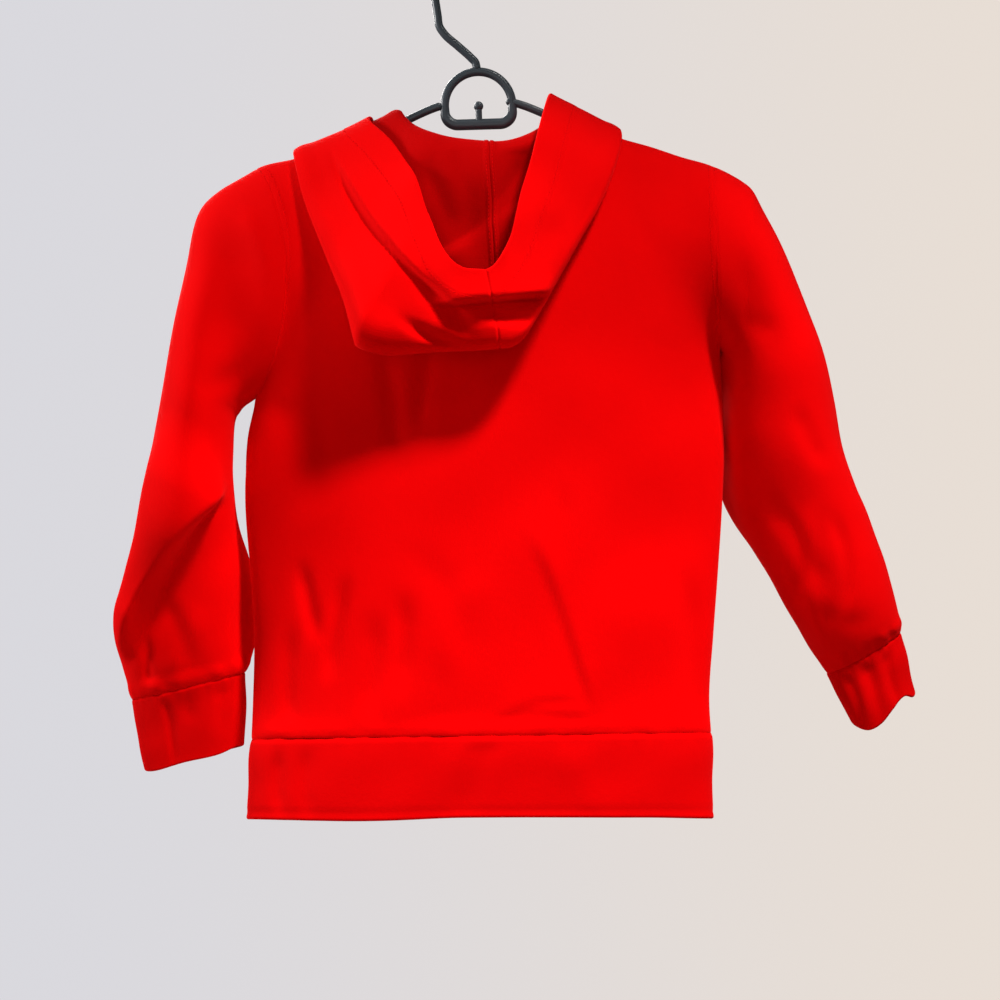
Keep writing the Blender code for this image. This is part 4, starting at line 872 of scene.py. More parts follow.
def make_panel(front):
    """x and z blend from edge to edge; then come the depth, the armpits, the relief and the wall inwards."""
    face = np.array([0.0, 1.0 if front else -1.0, 0.0])
    neck_cells, column = panel_columns(front)
    row = marks(SIDE_ROWS + ARMHOLE_ROWS, ROWS_PER_CELL, (0.012, 0.028, 0.05, 0.08, 0.18, 0.3))
    top_x, top_z, neck, in_neck, top_in = panel_top(front, neck_cells, column)
    left_edge, left_in = panel_side(front, SLEEVE_LEFT, -1.0, HEM_SEAM_LEFT, row)
    right_edge, right_in = panel_side(front, SLEEVE_RIGHT, 1.0, HEM_SEAM_RIGHT, row)

    low = np.clip(row / SIDE_ROWS, 0.0, 1.0)
    up = np.clip((row - SIDE_ROWS) / ARMHOLE_ROWS, 0.0, 1.0)
    v = (ARMPIT_SHARE * low + (1 - ARMPIT_SHARE) * 0.5 * (1 - np.cos(math.pi * up)))[:, None]
    bottom_share = section_share(column / (neck_cells + 2 * SHOULDER_CELLS))
    top_share = (top_x - top_x[0]) / (top_x[-1] - top_x[0])
    share = bottom_share[None, :] * (1 - v**4) + top_share[None, :] * v**4
    left_line, right_line = straight_above(left_edge, row), straight_above(right_edge, row)
    x = (left_line * (1 - share) + right_line * share + (left_edge[:, :1] - left_line) * (1 - share) ** 6
         + (right_edge[:, :1] - right_line) * share**6)
    foot_z = HEM_SEAM_LEFT + (HEM_SEAM_RIGHT - HEM_SEAM_LEFT) * share
    left_gap = left_edge[:, 2][:, None] - (HEM_SEAM_LEFT * (1 - v) + top_z[0] * v)
    right_gap = right_edge[:, 2][:, None] - (HEM_SEAM_RIGHT * (1 - v) + top_z[-1] * v)
    z = foot_z * (1 - v) + top_z[None, :] * v + left_gap * (1 - share) + right_gap * share
    if not front:
        z = z + HEM_BACK_LIFT * section_depth(share) * (1 - v) ** 5

    outer = np.stack([x, face[1] * panel_depth(share, x, z, left_edge, right_edge), z], -1)
    outer[:, 0], outer[:, -1] = left_edge, right_edge
    outer[-1, in_neck] = neck[in_neck]
    relax_armpits(outer, row, column)
    outer = outer - facing(grid_directions(outer), face) * panel_relief(front, outer, x, z)[..., None]

    # the wall goes in along the cloth's own normal, and along that of its neighbour at a seam
    normal = facing(grid_directions(outer), face)
    way_in = -normal
    for place, edge_in in ((column, left_in - left_edge), (column[-1] - column, right_in - right_edge)):
        hold = (1 - step(0.0, 0.9, place))[None, :, None]
        way_in = way_in * (1 - hold) + unit(edge_in)[:, None] * hold
    hold = (1 - step(0.0, 0.5, row[-1] - row))[:, None, None]
    inner = (outer + WALL * unit(way_in)) * (1 - hold) + (outer + top_in[None]) * hold
    for grid in (outer, inner):
        grid[..., 1] = face[1] * np.maximum(face[1] * grid[..., 1], 0.5 * GAP)
    return cloth("front" if front else "back", outer, inner, red_fleece), outer, normal


back, back_grid, back_out = make_panel(False)
front, front_grid, front_out = make_panel(True)

# %% [markdown]
# ## Hem band
#
# The band round the bottom is a strip of the same cloth folded double, so its lower edge is a fold. It is
# slightly tighter than the body, which puckers a little where it is sewn on.

# %% Hem band
HEM_BAND = [  # share of the way down, left_x, right_x, left_z, right_z, half_depth, back_lift
    (0.0, -174.5, 186.3, HEM_SEAM_LEFT, HEM_SEAM_RIGHT, 38.0, HEM_BACK_LIFT),
    (0.15, -176, 187.2, -626, -622, 38.8, 5.8),
    (0.6, -176.8, 186.9, -654, -650, 39.2, 6.5),
    (1, -178.4, 187.9, -679.5, -677.1, 39, 7)]
HEM_EXTRA_WALL = 0.6
HEM_FOLDS = [
    (-150, -624, -149, -668, -1.5, 12, 1.8),
    (-128, -622, -127, -670, -1.9, 14, 1.4),
    (13, -608, -12, -672, -2.2, 18, 1.8),
    (70, -620, 92, -672, 3, 26, -1)]
HEM_HANG, HEM_PUCKERS = [(1.0, 44.0, 0.6), (0.35, 23.0, 2.2)], [(0.6, 2.6, 0.0), (0.5, 3.7, 1.5)]
HEM_PUCKER_HEIGHT, HEM_PUCKER_REACH = 0.3, 6.0


def make_hem_band():
    """Both panels' lower edges carried down in one ring, puckered at the seam and rounded at the fold."""
    cells = [panel_columns(flag)[0] + 2 * SHOULDER_CELLS for flag in (False, True)]
    back_share = section_share(panel_columns(False)[1] / cells[0])
    front_share = section_share(panel_columns(True)[1] / cells[1])
    down = marks(1, 26, (0.005, 0.014, 0.026, 0.04, 0.06), (0.003, 0.008, 0.015, 0.024, 0.045))
    left_x, right_x, left_z, right_z, half_depth, back_lift = smooth(HEM_BAND, down).T[:, :, None]
    halves = []
    for share, face in ((back_share[None, :-1], -1.0), (front_share[None, ::-1][:, :-1], 1.0)):
        x = left_x + (right_x - left_x) * share
        z = left_z + (right_z - left_z) * share + (back_lift * section_depth(share) if face < 0 else 0.0)
        halves.append(np.stack([x, face * half_depth * section_depth(share) + 0 * x, z], -1))
    outer = np.concatenate(halves, axis=1)
    from_seam = along(outer)
    outer[..., 2] -= GAP * np.exp(-from_seam / GAP_REACH)
    outer[..., 2] += ripple(outer[-1, :, 0], HEM_HANG)[None, :] * down[:, None] ** 3
    from_end = from_seam[-1:] - from_seam
    middle = outer.mean(axis=1, keepdims=True)
    normal = facing(grid_directions(outer, closed=True), outer - middle)
    x, z = outer[..., 0], outer[..., 2]
    relief = folds(HEM_FOLDS, x, z) * back_and_front(normal, 0.5)[0] * step(2.0, 12.0, from_seam)
    relief += unevenness(x, z, *UNEVEN["hem band"])
    puckers = HEM_PUCKER_HEIGHT * ripple(x, HEM_PUCKERS) * np.exp(-from_seam / HEM_PUCKER_REACH)
    relief += seam_groove(from_seam, "hem") + puckers
    relief -= 0.4 * step(1.0, 4.0, from_seam)
    relief += 0.5 * np.exp(-((from_end - 6.0) / 2.0) ** 2)
    outer = outer - normal * relief[..., None]
    normal = facing(grid_directions(outer, closed=True), outer - middle)
    share = rounded(from_end, BAND_WALL + HEM_EXTRA_WALL)[..., None]
    wall = 0.5 * (BAND_WALL + HEM_EXTRA_WALL * step(1.0, 4.0, from_seam))[..., None]
    centre = outer - wall * normal
    return cloth("hem_band", centre + wall * share * normal, centre - wall * share * normal, red_band_painted_shade, "rib",
                 closed=True)


hem_band = make_hem_band()

# %% [markdown]
# ## Hood
#
# The hood is two panels joined by a centre seam. Thrown back, it stands up from the neck seam, rolls over,
# lies down the back, folds at its lowest line and comes back up to the face edge. So a section from the
# neck to the face edge is a hairpin, and a row of the table gives one: where it folds, how high it stands
# off the back and where its edge is. The keys of each section are joined by a smooth curve, and the two
# halves are worked out as one sheet.

# %% Hood sizes
HOOD_LEFT = [  # angle, fold_x, fold_down, fold_lift, fold_radius, edge_x, edge_down, edge_lift
    (0, 20, 218, 24, 16, 10, 163, 46),
    (12, -2, 220, 24, 16, -6, 161, 46),
    (25, -36, 213, 25, 17, -18, 150, 45),
    (36, -67, 200, 26, 17.5, -26, 134, 42),
    (42, -84, 187.5, 26, 17.5, -32, 117, 39),
    (44, -88, 183, 26, 17.5, -34, 112, 38),
    (46, -90.5, 173, 24, 16.5, -36.5, 104, 36.5),
    (50, -97, 147, 19.5, 13.5, -42, 85, 32),
    (56, -111, 107, 13, 9, -52, 62, 22),
    (62, -128, 59, 7.5, 5, -63, 39, 15.5),
    (70, -139, 16, 5.6, 3.2, -79, 13, 11.5),
    (82, -141, -2, 5.2, 2.8, -80, -2, 9.5),
    (95, -136, -18, 6, 3.4, -76, -20, 10.5),
    (115, -116, -50, 7.2, 4.2, -60, -46, 12),
    (140, -72, -92, 7.2, 4.2, -36, -70, 12),
    (160, -28, -112, 7.2, 4.2, -12, -80, 12),
    (180, 12, -118, 7.2, 4.2, 12, -84, 12)]
HOOD_RIGHT = [  # angle, fold_x, fold_down, fold_lift, fold_radius, edge_x, edge_down, edge_lift
    (0, 20, 218, 24, 16, 10, 163, 46),
    (10, 30, 214, 22, 15, 16, 159, 46),
    (20, 40, 203, 20, 13.5, 23, 149, 46),
    (30, 53, 176, 17, 12, 29, 136, 44),
    (40, 67, 145, 15, 10.5, 33, 119, 42),
    (48, 81, 114, 13, 9, 37, 100, 38),
    (55, 95, 83, 11, 7.6, 43, 78, 34),
    (62, 106, 52, 9, 6, 49, 52, 30),
    (70, 114, 21, 5.6, 3.2, 56, 19, 17),
    (82, 115, -2, 5.2, 2.8, 60, -2, 10.5),
    (95, 112, -18, 6, 3.4, 59, -21, 10.5),
    (115, 98, -50, 7.2, 4.2, 50, -48, 12),
    (140, 68, -92, 7.2, 4.2, 38, -71, 12),
    (160, 40, -112, 7.2, 4.2, 25, -80, 12),
    (180, 12, -118, 7.2, 4.2, 12, -84, 12)]
ROLL_RISE, ROLL_RADIUS, ROLL_RADIUS_BACK = 12.0, 1.6, 7.0
UNDER_KEYS = [  # share of the way from the neck seam to the fold, bulge on the roll
    (0.0, 0.5), (0.3, 1.3), (0.55, 0.8), (0.8, 0.1)]
FOLD_ANGLES = (-90.0, -45.0, 0.0, 45.0, 90.0)
OUTER_SHARES = (0.25, 0.5, 0.72, 0.88, 1.0)
CELLS_PER_KEY = [3, 4, 4, 4, 5, 14, 12, 12, 8, 7, 7, 7, 7, 12, 12, 11, 8]
LAST_CELLS = [0.0, 0.2, 0.4, 0.58, 0.7, 0.8, 0.88, 0.93, 0.965, 0.985]
FACE_HEM, FACE_HEM_RAISE, STITCH_INSET = 23.0, 0.5, 1.5  # the turned face edge and the stitches inside it
SEAM_ALLOWANCE, TWIN_ROW = 3.6, 2.6  # each side of the centre seam, inside, and the stitches that hold it
HOOD_TUCKS = [  # layers that lie over others
    (-103, -172, -13, -285, -8.5, 4.8, 2.2, 34),
    (-22, -284, 62, -274, -1, 12, 2, 17)]
HOOD_FOLDS = [  # on the half that faces out
    (-104, -176, -14, -286, -9.5, 6, 1.8),
    (-50, -296, 1, -317, -3.1, 10, 4.5),
    (-40, -267, 0, -309, 0.6, 14, 3.6),
    (56, -217, 55, -271, -0.8, 28, 2.4),
    (-15, -284, 53, -277, -0.2, 7, 3),
    (10, -289, 50, -290, -3.7, 11, 4)]
NAPE_FOLDS = [  # on the half that lies on the back
    (-36, -174, -14, -227, 0, 16, 2.2),
    (-14, -162, -2, -200, 0.8, 14, 1.4),
    (46, -160, -6, -234, -2, 30, 11)]
NAPE_TUCKS = [
    (40, -202, -30, -248, 0, 8, 5, 40),
    (-14, -238, 50, -150, 0, 5, 6, 40)]

print("sections of the hood's halves:", len(HOOD_LEFT), "and", len(HOOD_RIGHT))

# %% Hood panels


def refine(points, shares):
    """Cubics from key to key of each row. A slope is that of the two chords; the shorter weighs more."""
    hop = np.diff(points, axis=1)
    length = np.linalg.norm(hop, axis=-1, keepdims=True)
    rate = hop / length
    before, after = length[:, :-1], length[:, 1:]
    slope = (before * rate[:, 1:] + after * rate[:, :-1]) / (before + after)
    slope = np.concatenate([rate[:, :1], slope, rate[:, -1:]], axis=1)
    parts = []
    for k, share in enumerate(shares):
        here, there = slice(k, k + 1), slice(k + 1, k + 2)
        parts.append(cubic(share[None, :, None], length[:, here], points[:, here], points[:, there],
                           slope[:, here], slope[:, there]))
    return np.concatenate([*parts, points[:, -1:]], axis=1)


def hood_half(table, right, angle):
    """Keys of the hood's sections on one side in x, tape distance and lift."""
    fold_x, fold_down, fold_lift, fold_radius, edge_x, edge_down, edge_lift = smooth(table, angle).T
    seam = np.stack(neck_point(angle, right), -1)
    fold, edge = np.stack([fold_x, fold_down], -1), np.stack([edge_x, edge_down], -1)
    turn = np.radians(angle)
    width = NECK_RIGHT if right else -NECK_LEFT
    out = unit(np.stack([np.sin(turn) / width, np.cos(turn) / (0.5 * (NECK_BACK - NECK_FRONT))], -1))
    rise = ROLL_RISE * (1 - 0.35 * step(90.0, 180.0, angle))[:, None]
    radius = fold_radius[:, None]
    roll = ROLL_RADIUS + (ROLL_RADIUS_BACK - ROLL_RADIUS) * (1 - step(30.0, 72.0, angle))
    tip = unit(fold - 0.5 * (seam + edge))
    middle = fold - radius * 0.8 * tip
    under, over = fold_lift - fold_radius, fold_lift + fold_radius
    turn_in = seam - (rise - roll[:, None]) * out
    keys = [(seam - GAP * out, 0.0), (seam - 0.3 * rise * out, 0.0), (turn_in, 0.0),
            (seam - rise * out, roll), (turn_in, 2 * roll)]
    for s, bulge in UNDER_KEYS:
        lift = 2 * roll + s * (under - 2 * roll) + 0.6 * (roll - ROLL_RADIUS) * bulge
        keys.append((seam + s * (middle - seam), lift))
    keys += [(middle + 0.8 * radius * math.cos(math.radians(a)) * tip,
              fold_lift + fold_radius * math.sin(math.radians(a))) for a in FOLD_ANGLES]
    keys += [(middle + s * (edge - middle), over + s * (edge_lift - over)) for s in OUTER_SHARES]
    return np.stack([np.concatenate([place, np.broadcast_to(lift, angle.shape)[:, None]], axis=1)
                     for place, lift in keys], axis=1)


def hood_sheet():
    """Both halves as one sheet of x, tape distance and lift, its centre row, and its columns' places."""
    angle = np.concatenate([BACK_ANGLES[::-1], FRONT_ANGLES[1:]])
    places = marks(len(angle) - 1, 8, (0.02, 0.05, 0.09, 0.14, 0.2, 0.28, 0.38), (0.05, 0.1))
    fine = np.interp(places, np.arange(len(angle)), angle)
    shares = [np.arange(cells) / cells for cells in CELLS_PER_KEY] + [np.array(LAST_CELLS)]
    left = refine(hood_half(HOOD_LEFT, False, fine), shares)
    right = refine(hood_half(HOOD_RIGHT, True, fine), shares)
    order = np.concatenate([[k + s for s in share] for k, share in enumerate(shares)] + [[len(shares)]])
    return np.concatenate([left[::-1], right[1:]]), len(left) - 1, order


def hood_relief(sheet, centre, order):
    """How far the cloth rises: layers and creases on the half that faces out and on the half on the back."""
    facing_out = step(10.5, 13.0, order)[None, :]
    on_back = (step(4.0, 5.3, order) * (1 - step(8.6, 10.5, order)))[None, :]
    x, z = carrier(sheet[..., 0], sheet[..., 1], sheet[..., 2])[..., [0, 2]].transpose(2, 0, 1)
    behind = step(-6.0, 18.0, sheet[..., 1])
    off_seam = sheet[..., 0] - sheet[centre:centre + 1, :, 0]
    stiff = 1 - 0.75 * np.exp(-(off_seam / 20.0) ** 2)
    calm = step(2.0, 14.0, np.abs(sheet[..., 2]))
    lift = (tucks(HOOD_TUCKS, x, z) - folds(HOOD_FOLDS, x, z)) * facing_out * behind
    lift += (tucks(NAPE_TUCKS, x, z) - folds(NAPE_FOLDS, x, z)) * stiff * on_back * behind
    lift += unevenness(x, z, *UNEVEN["hood outside"]) * facing_out * behind * calm
    lift += unevenness(x, z, *UNEVEN["hood on the back"]) * on_back * behind * calm
    lift += unevenness(x, z, *UNEVEN["hood before"]) * (1 - behind) * facing_out * calm
    return lift


def hood_normals(outer, sheet, order):
    """Directions off the cloth, level at the centre front, and square to the panels along the neck seam."""
    first = carrier(sheet[:, 0, 0], sheet[:, 0, 1], 1.0) - outer[:, 0]
    normal = grid_directions(outer)
    normal[0, :, 0] = normal[-1, :, 0] = 0.0
    normal = unit(normal)
    if np.sum(normal[:, 3] * first) < 0:
        normal = -normal
    hold = (1 - step(0.0, 1.5, order))[None, :, None]
    return unit(normal * (1 - hold) + first[:, None] * hold)


def make_hood():
    """The sheet gets its relief and its wall: turned face edge with its stitched line, and centre seam."""
    sheet, centre, order = hood_sheet()
    sheet[..., 2] += hood_relief(sheet, centre, order)
    outer = carrier(sheet[..., 0], sheet[..., 1], sheet[..., 2])
    normal = hood_normals(outer, sheet, order)
    from_edge, across = along_back(outer, 1), along(outer)
    from_centre = np.abs(across - across[centre:centre + 1])
    from_front = np.minimum(across, across[-1:] - across)
    hem = 1 - step(FACE_HEM - 0.6, FACE_HEM + 0.6, from_edge)
    line = seam_groove(from_edge - FACE_HEM + STITCH_INSET, "face edge")
    outside = FACE_HEM_RAISE * hem - line - seam_groove(from_centre, "centre")
    outside = outside - seam_groove(from_front, "centre front")
    allowance = 1 - step(SEAM_ALLOWANCE - 0.5, SEAM_ALLOWANCE + 0.5, from_centre)
    inside = 0.6 * hem - line + 0.7 * allowance * (1 - hem) - seam_groove(from_centre, "centre inside")
    inside = inside - seam_groove(from_centre - TWIN_ROW, "twin row")
    thick = WALL + outside + inside
    middle = outer + normal * (outside - 0.5 * thick)[..., None]
    half = (0.5 * thick * rounded(from_edge, WALL + FACE_HEM_RAISE + 0.6))[..., None] * normal
    outer, inner = middle + half, middle - half

    made = []
    for side, rows, shift in (("left", slice(0, centre + 1), -1.0), ("right", slice(centre, None), 1.0)):
        walls = outer[rows].copy(), inner[rows].copy()
        for wall in walls:
            wall[[0, -1], :, 0] += shift * 0.2 * GAP
        made.append(cloth("hood_" + side, *walls, red_fleece))
    return made, outer, inner, normal, from_edge, centre


(hood_left, hood_right), hood_outer, hood_inner, hood_out, hood_from_edge, hood_centre = make_hood()

# %% [markdown]
# ## Kangaroo pocket
#
# The front carries one wide pocket, sewn along its top, bottom and lower sides, and open along its slanted
# edges.

# %% Pocket
POCKET_X, POCKET_HALF_TOP, POCKET_HALF_BOTTOM = 6.0, 66.0, 108.0
POCKET_BOTTOM, POCKET_TOP, POCKET_SIDE_SHARE = -610.0, -466.0, 0.35
POCKET_STAND, POCKET_GAP = 9.0, 0.5
OPENING_STITCHES, TOP_STITCHES = 12.5, 8.5
POCKET_SIDE_HEM, POCKET_END_HEM, POCKET_CALM = (13.4, 14.6), (9.4, 10.6), (2.0, 16.0)
SIDE_HEM_RAISE, END_HEM_RAISE = 0.8, 0.5


def make_pocket():
    """Straight bottom and top, and slanted sides. It stands off the panel by a sine from bottom to top."""
    near = (0.04, 0.1, 0.18, 0.3)
    a = marks(14, 7, near, near)[None, :] / 7 - 1
    b = marks(9, 8, near, near)[:, None] / 9
    slant = np.clip((b - POCKET_SIDE_SHARE) / (1 - POCKET_SIDE_SHARE), 0.0, 1.0)
    half = POCKET_HALF_BOTTOM + (POCKET_HALF_TOP - POCKET_HALF_BOTTOM) * slant
    x = POCKET_X + a * half
    z = POCKET_BOTTOM + (POCKET_TOP - POCKET_BOTTOM) * b + 0 * a
    sewn_sides = np.abs(a) ** 4 * (1 - step(POCKET_SIDE_SHARE - 0.05, POCKET_SIDE_SHARE + 0.15, b))
    stand = POCKET_STAND * np.clip(np.sin(math.pi * b), 0.0, 1.0) ** 0.7 * (1 - sewn_sides)
    left, right = np.moveaxis(seams_x(z), -1, 0)
    panel = carrier_depth(x, z) * section_depth((x - left) / (right - left))
    inner = np.stack([x, panel + POCKET_GAP + stand, z], -1)
    from_side = np.minimum(along(inner, 1), along_back(inner, 1))
    from_end = np.minimum(along(inner), along_back(inner))
    raise_hem = SIDE_HEM_RAISE * (1 - step(*POCKET_SIDE_HEM, from_side))
    raise_hem += END_HEM_RAISE * (1 - step(*POCKET_END_HEM, from_end))
    raise_hem -= (seam_groove(from_side - OPENING_STITCHES, "pocket opening")
                  + seam_groove(from_end - TOP_STITCHES, "pocket end"))
    calm = step(*POCKET_CALM, from_side) * step(*POCKET_CALM, from_end)
    raise_hem += unevenness(x, z, *UNEVEN["pocket"]) * calm
    thick = (WALL + raise_hem) * rounded(np.minimum(from_side, from_end), WALL + SIDE_HEM_RAISE)
    shift = 0.5 * (WALL + raise_hem - thick)
    outward = np.array([0.0, 1.0, 0.0])
    outer = inner + (shift + thick)[..., None] * outward
    return cloth("pocket", outer, inner + shift[..., None] * outward, red_fleece), outer


pocket, pocket_grid = make_pocket()

# %% [markdown]
# ## Hanger
#
# The hanger is moulded in one piece from dark plastic: a cranked hook, a flat-bottomed ring with a small
# peg in it, and two arms under the shoulders. Each stretch is a round section carried along a path in the
# hanger's plane.

# %% Hanger material


def moulded_plastic():
    """A slate grey that varies a little in tone and shine, with a fine grain."""
    material, tree, shader = new_material("hanger_plastic")
    place = wire(tree, "TexCoord")["Object"]
    cloud = wire(tree, "TexNoise", ("Vector", place), ("Scale", 60.0), ("Detail", 3.0))["Fac"]
    grain = wire(tree, "TexNoise", ("Vector", place), ("Scale", 900.0), ("Detail", 2.0))["Fac"]
    tone = tree.nodes.new("ShaderNodeValToRGB")
    tone.color_ramp.elements[0].color = (0.030, 0.042, 0.052, 1.0)
    tone.color_ramp.elements[1].color = (0.052, 0.070, 0.085, 1.0)
    shine = wire(tree, "MapRange", ("Value", cloud), ("To Min", 0.30), ("To Max", 0.46))
    bump = wire(tree, "Bump", ("Strength", 0.12), ("Distance", 0.0001), ("Height", grain))
    colour = feed(tree, tone, ("Fac", cloud))["Color"]
    feed(tree, shader, ("Base Color", colour), ("Roughness", shine["Result"]), ("Normal", bump["Normal"]),
         ("Specular IOR Level", 0.5))
    return material


hanger_plastic = moulded_plastic()
print("hanger material:", hanger_plastic.name)

# %% Hanger
TILT = math.radians(1.7)
ROD_RADIUS, HOOK_RADIUS = 3.2, 32.0
HOOK_START, HOOK_END = math.radians(191.0), math.radians(-4.0)
NECK_ROUTE = [(-28.5, -57.8), (-1.5, -83.5), (0.0, -91.0)]
RING_Z, RING_RADIUS, RING_CORNER, RING_DROP = -118.0, 26.5, 10.0, 14.8
ARCH_WIDTH, BAR_WIDTH, RING_DEPTH = 6.7, 8.6, 6.4
PEG_HEIGHT, PEG_NECK, PEG_KNOB = 18.0, 2.6, 3.8
ARM_START_X, ARM_END_LEFT, ARM_END_RIGHT, ARM_RADIUS, ARM_CLEARANCE = 25.0, -198.0, 203.0, 3.1, 0.5


def swept(line, half_width, half_depth, sides=24, closed=False):
    """An ellipse carried along a path in the XZ plane, square to it: cosine in the plane, sine along Y."""
    line = np.asarray(line, float)
    if closed:
        ahead = np.roll(line, -1, axis=0) - np.roll(line, 1, axis=0)
    else:
        ahead = np.gradient(line, axis=0)
    way = unit(ahead)
    turn = np.arange(sides) * 2 * math.pi / sides
    wide = (np.broadcast_to(half_width, len(line)))[:, None] * np.cos(turn)
    deep = (np.broadcast_to(half_depth, len(line)))[:, None] * np.sin(turn)
    points = np.stack([line[:, :1] + way[:, 1:] * wide, deep, line[:, 1:] - way[:, :1] * wide], -1)
    rings, count = len(line), len(line) * sides
    i, j = np.meshgrid(np.arange(rings if closed else rings - 1), np.arange(sides), indexing="ij")
    k, n = (i + 1) % rings, (j + 1) % sides
    quads = np.stack([i * sides + j, k * sides + j, k * sides + n, i * sides + n], -1).reshape(-1, 4)
    faces = np.concatenate([quads[:, [0, 1, 2]], quads[:, [0, 2, 3]]])
    points = points.reshape(-1, 3)
    if not closed:
        ends = np.array([[line[0, 0], 0.0, line[0, 1]], [line[-1, 0], 0.0, line[-1, 1]]])
        s = np.arange(sides)
        e = (s + 1) % sides
        last = (rings - 1) * sides
        first_cap = np.stack([s, e, np.full(sides, count)], -1)
        last_cap = np.stack([last + e, last + s, np.full(sides, count + 1)], -1)
        points, faces = np.concatenate([points, ends]), np.concatenate([faces, first_cap, last_cap])
    return points, faces if held(points, faces) > 0 else faces[:, ::-1]


def arc(centre_x, centre_z, radius, start, end, count):
    """Points of a circle from one angle to another."""
    return [(centre_x + radius * math.cos(a), centre_z + radius * math.sin(a))
            for a in np.linspace(start, end, count)]


def fair(points, count):
    """Cubics through a path's points by their distance along it."""
    points = np.asarray(points, float)
    length = along(points)
    return smooth(np.column_stack([length, points]), np.linspace(0.0, length[-1], count))


def rod(points, count, radius):
    """A round rod on a fair path, with extra points near both ends, which a quarter circle rounds off."""
    line = fair(points, count)
    length = along(line)
    extra = np.array([0.05, 0.15, 0.3, 0.5, 0.75, 1.0]) * radius
    at = np.unique(np.concatenate([length, extra, length[-1] - extra]))
    line = smooth(np.column_stack([length, line]), at)
    near = np.clip(np.minimum(along(line), along_back(line)) / radius, 0.0, 1.0)
    radii = radius * np.maximum(np.sqrt(1 - (1 - near) ** 2), 0.05)
    return swept(line, radii, radii)


def turned(x, z, angle):
    """x and z after a turn about the Y axis, counter-clockwise as seen from behind the garment."""
    return x * math.cos(angle) - z * math.sin(angle), x * math.sin(angle) + z * math.cos(angle)


def make_hook():
    """An arc from the tip, and then straight stretches down to the ring, joined by soft bends."""
    hook = arc(0.0, ROD_RADIUS - HOOK_RADIUS, HOOK_RADIUS, HOOK_END, HOOK_START, 22)
    foot = np.array([hook[-1], *NECK_ROUTE])
    for start, end in zip(foot[:-1], foot[1:]):
        hook += [tuple(start + share * (end - start)) for share in (0.12, 0.5, 0.88)]
    return rod([*hook, tuple(foot[-1])], 160, ROD_RADIUS)


def make_ring():
    """A half circle above two round corners and a level bar, which is a little wider."""
    corner_x, corner_z = RING_RADIUS - RING_CORNER, RING_CORNER - RING_DROP
    line = np.array(arc(0.0, 0.0, RING_RADIUS, 0.0, math.pi, 49)
                    + arc(-corner_x, corner_z, RING_CORNER, math.pi, 1.5 * math.pi, 15)
                    + arc(corner_x, corner_z, RING_CORNER, 1.5 * math.pi, 2 * math.pi, 15))
    width = ARCH_WIDTH + (BAR_WIDTH - ARCH_WIDTH) * step(0.0, RING_DROP - 2.0, -line[:, 1])
    return swept(line + [0.0, RING_Z], 0.5 * width, 0.5 * RING_DEPTH, closed=True)


def make_arm(start_x, end_x):
    """The arm keeps one clearance below the cloth on the shoulders, and is given in the untilted frame."""
    x = np.linspace(start_x, end_x, 60)
    reach = ARM_RADIUS + WALL + ARM_CLEARANCE
    near = np.linspace(-reach, reach, 41)
    z = np.min(ridge_z(x[:, None] + near) - np.sqrt(reach**2 - near**2), axis=1)
    return rod(np.stack(turned(x, z, -TILT), -1), 60, ARM_RADIUS)


def make_peg():
    """A straight neck on the ring's bar and a round knob on it."""
    bar_z = RING_Z - RING_DROP
    heights = np.linspace(0.0, PEG_HEIGHT - PEG_KNOB, 12)
    turn = np.linspace(0.02, math.pi - 0.02, 21)
    knob_z = bar_z + PEG_HEIGHT - PEG_KNOB - PEG_KNOB * np.cos(turn)
    return (swept(np.stack([0 * heights, bar_z + heights], -1), PEG_NECK, PEG_NECK),
            swept(np.stack([0 * turn, knob_z], -1), PEG_KNOB * np.sin(turn), PEG_KNOB * np.sin(turn)))


def make_hanger():
    """All stretches in one piece, tilted as it hangs."""
    stretches = [make_hook(), make_ring(), make_arm(-ARM_START_X, ARM_END_LEFT),
                 make_arm(ARM_START_X, ARM_END_RIGHT), *make_peg()]
    starts = np.cumsum([0] + [len(points) for points, _ in stretches])
    points = np.concatenate([points for points, _ in stretches])
    faces = np.concatenate([faces + start for (_, faces), start in zip(stretches, starts)])
    x, z = turned(points[:, 0], points[:, 2], TILT)
    piece = put("plastic_hanger", np.stack([x, points[:, 1], z], -1), faces, hanger_plastic)
    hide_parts("hanger")
    print("hanger:", len(stretches), "stretches,", len(faces), "faces")
    return piece


hanger = make_hanger()

# %% [markdown]
# ## Stitching
#
# The seams are sewn with matching thread. Each stitch is a small bead, longer than it is thick, sunk
# halfway into the cloth. One bead is worked out once and then placed along each line by array sums, so
# about a thousand of them stay light.

# %% Stitches
STITCH_LENGTH, STITCH_PITCH, STITCH_THICK = 2.4, 3.1, 0.55
STITCH_LIFT, STITCH_REACH, ARMHOLE_STITCHES = 0.05, 0.6, 5.0
BEAD_RINGS, BEAD_SIDES = [(-0.34, 0.78), (0.0, 1.0), (0.34, 0.78)], 6


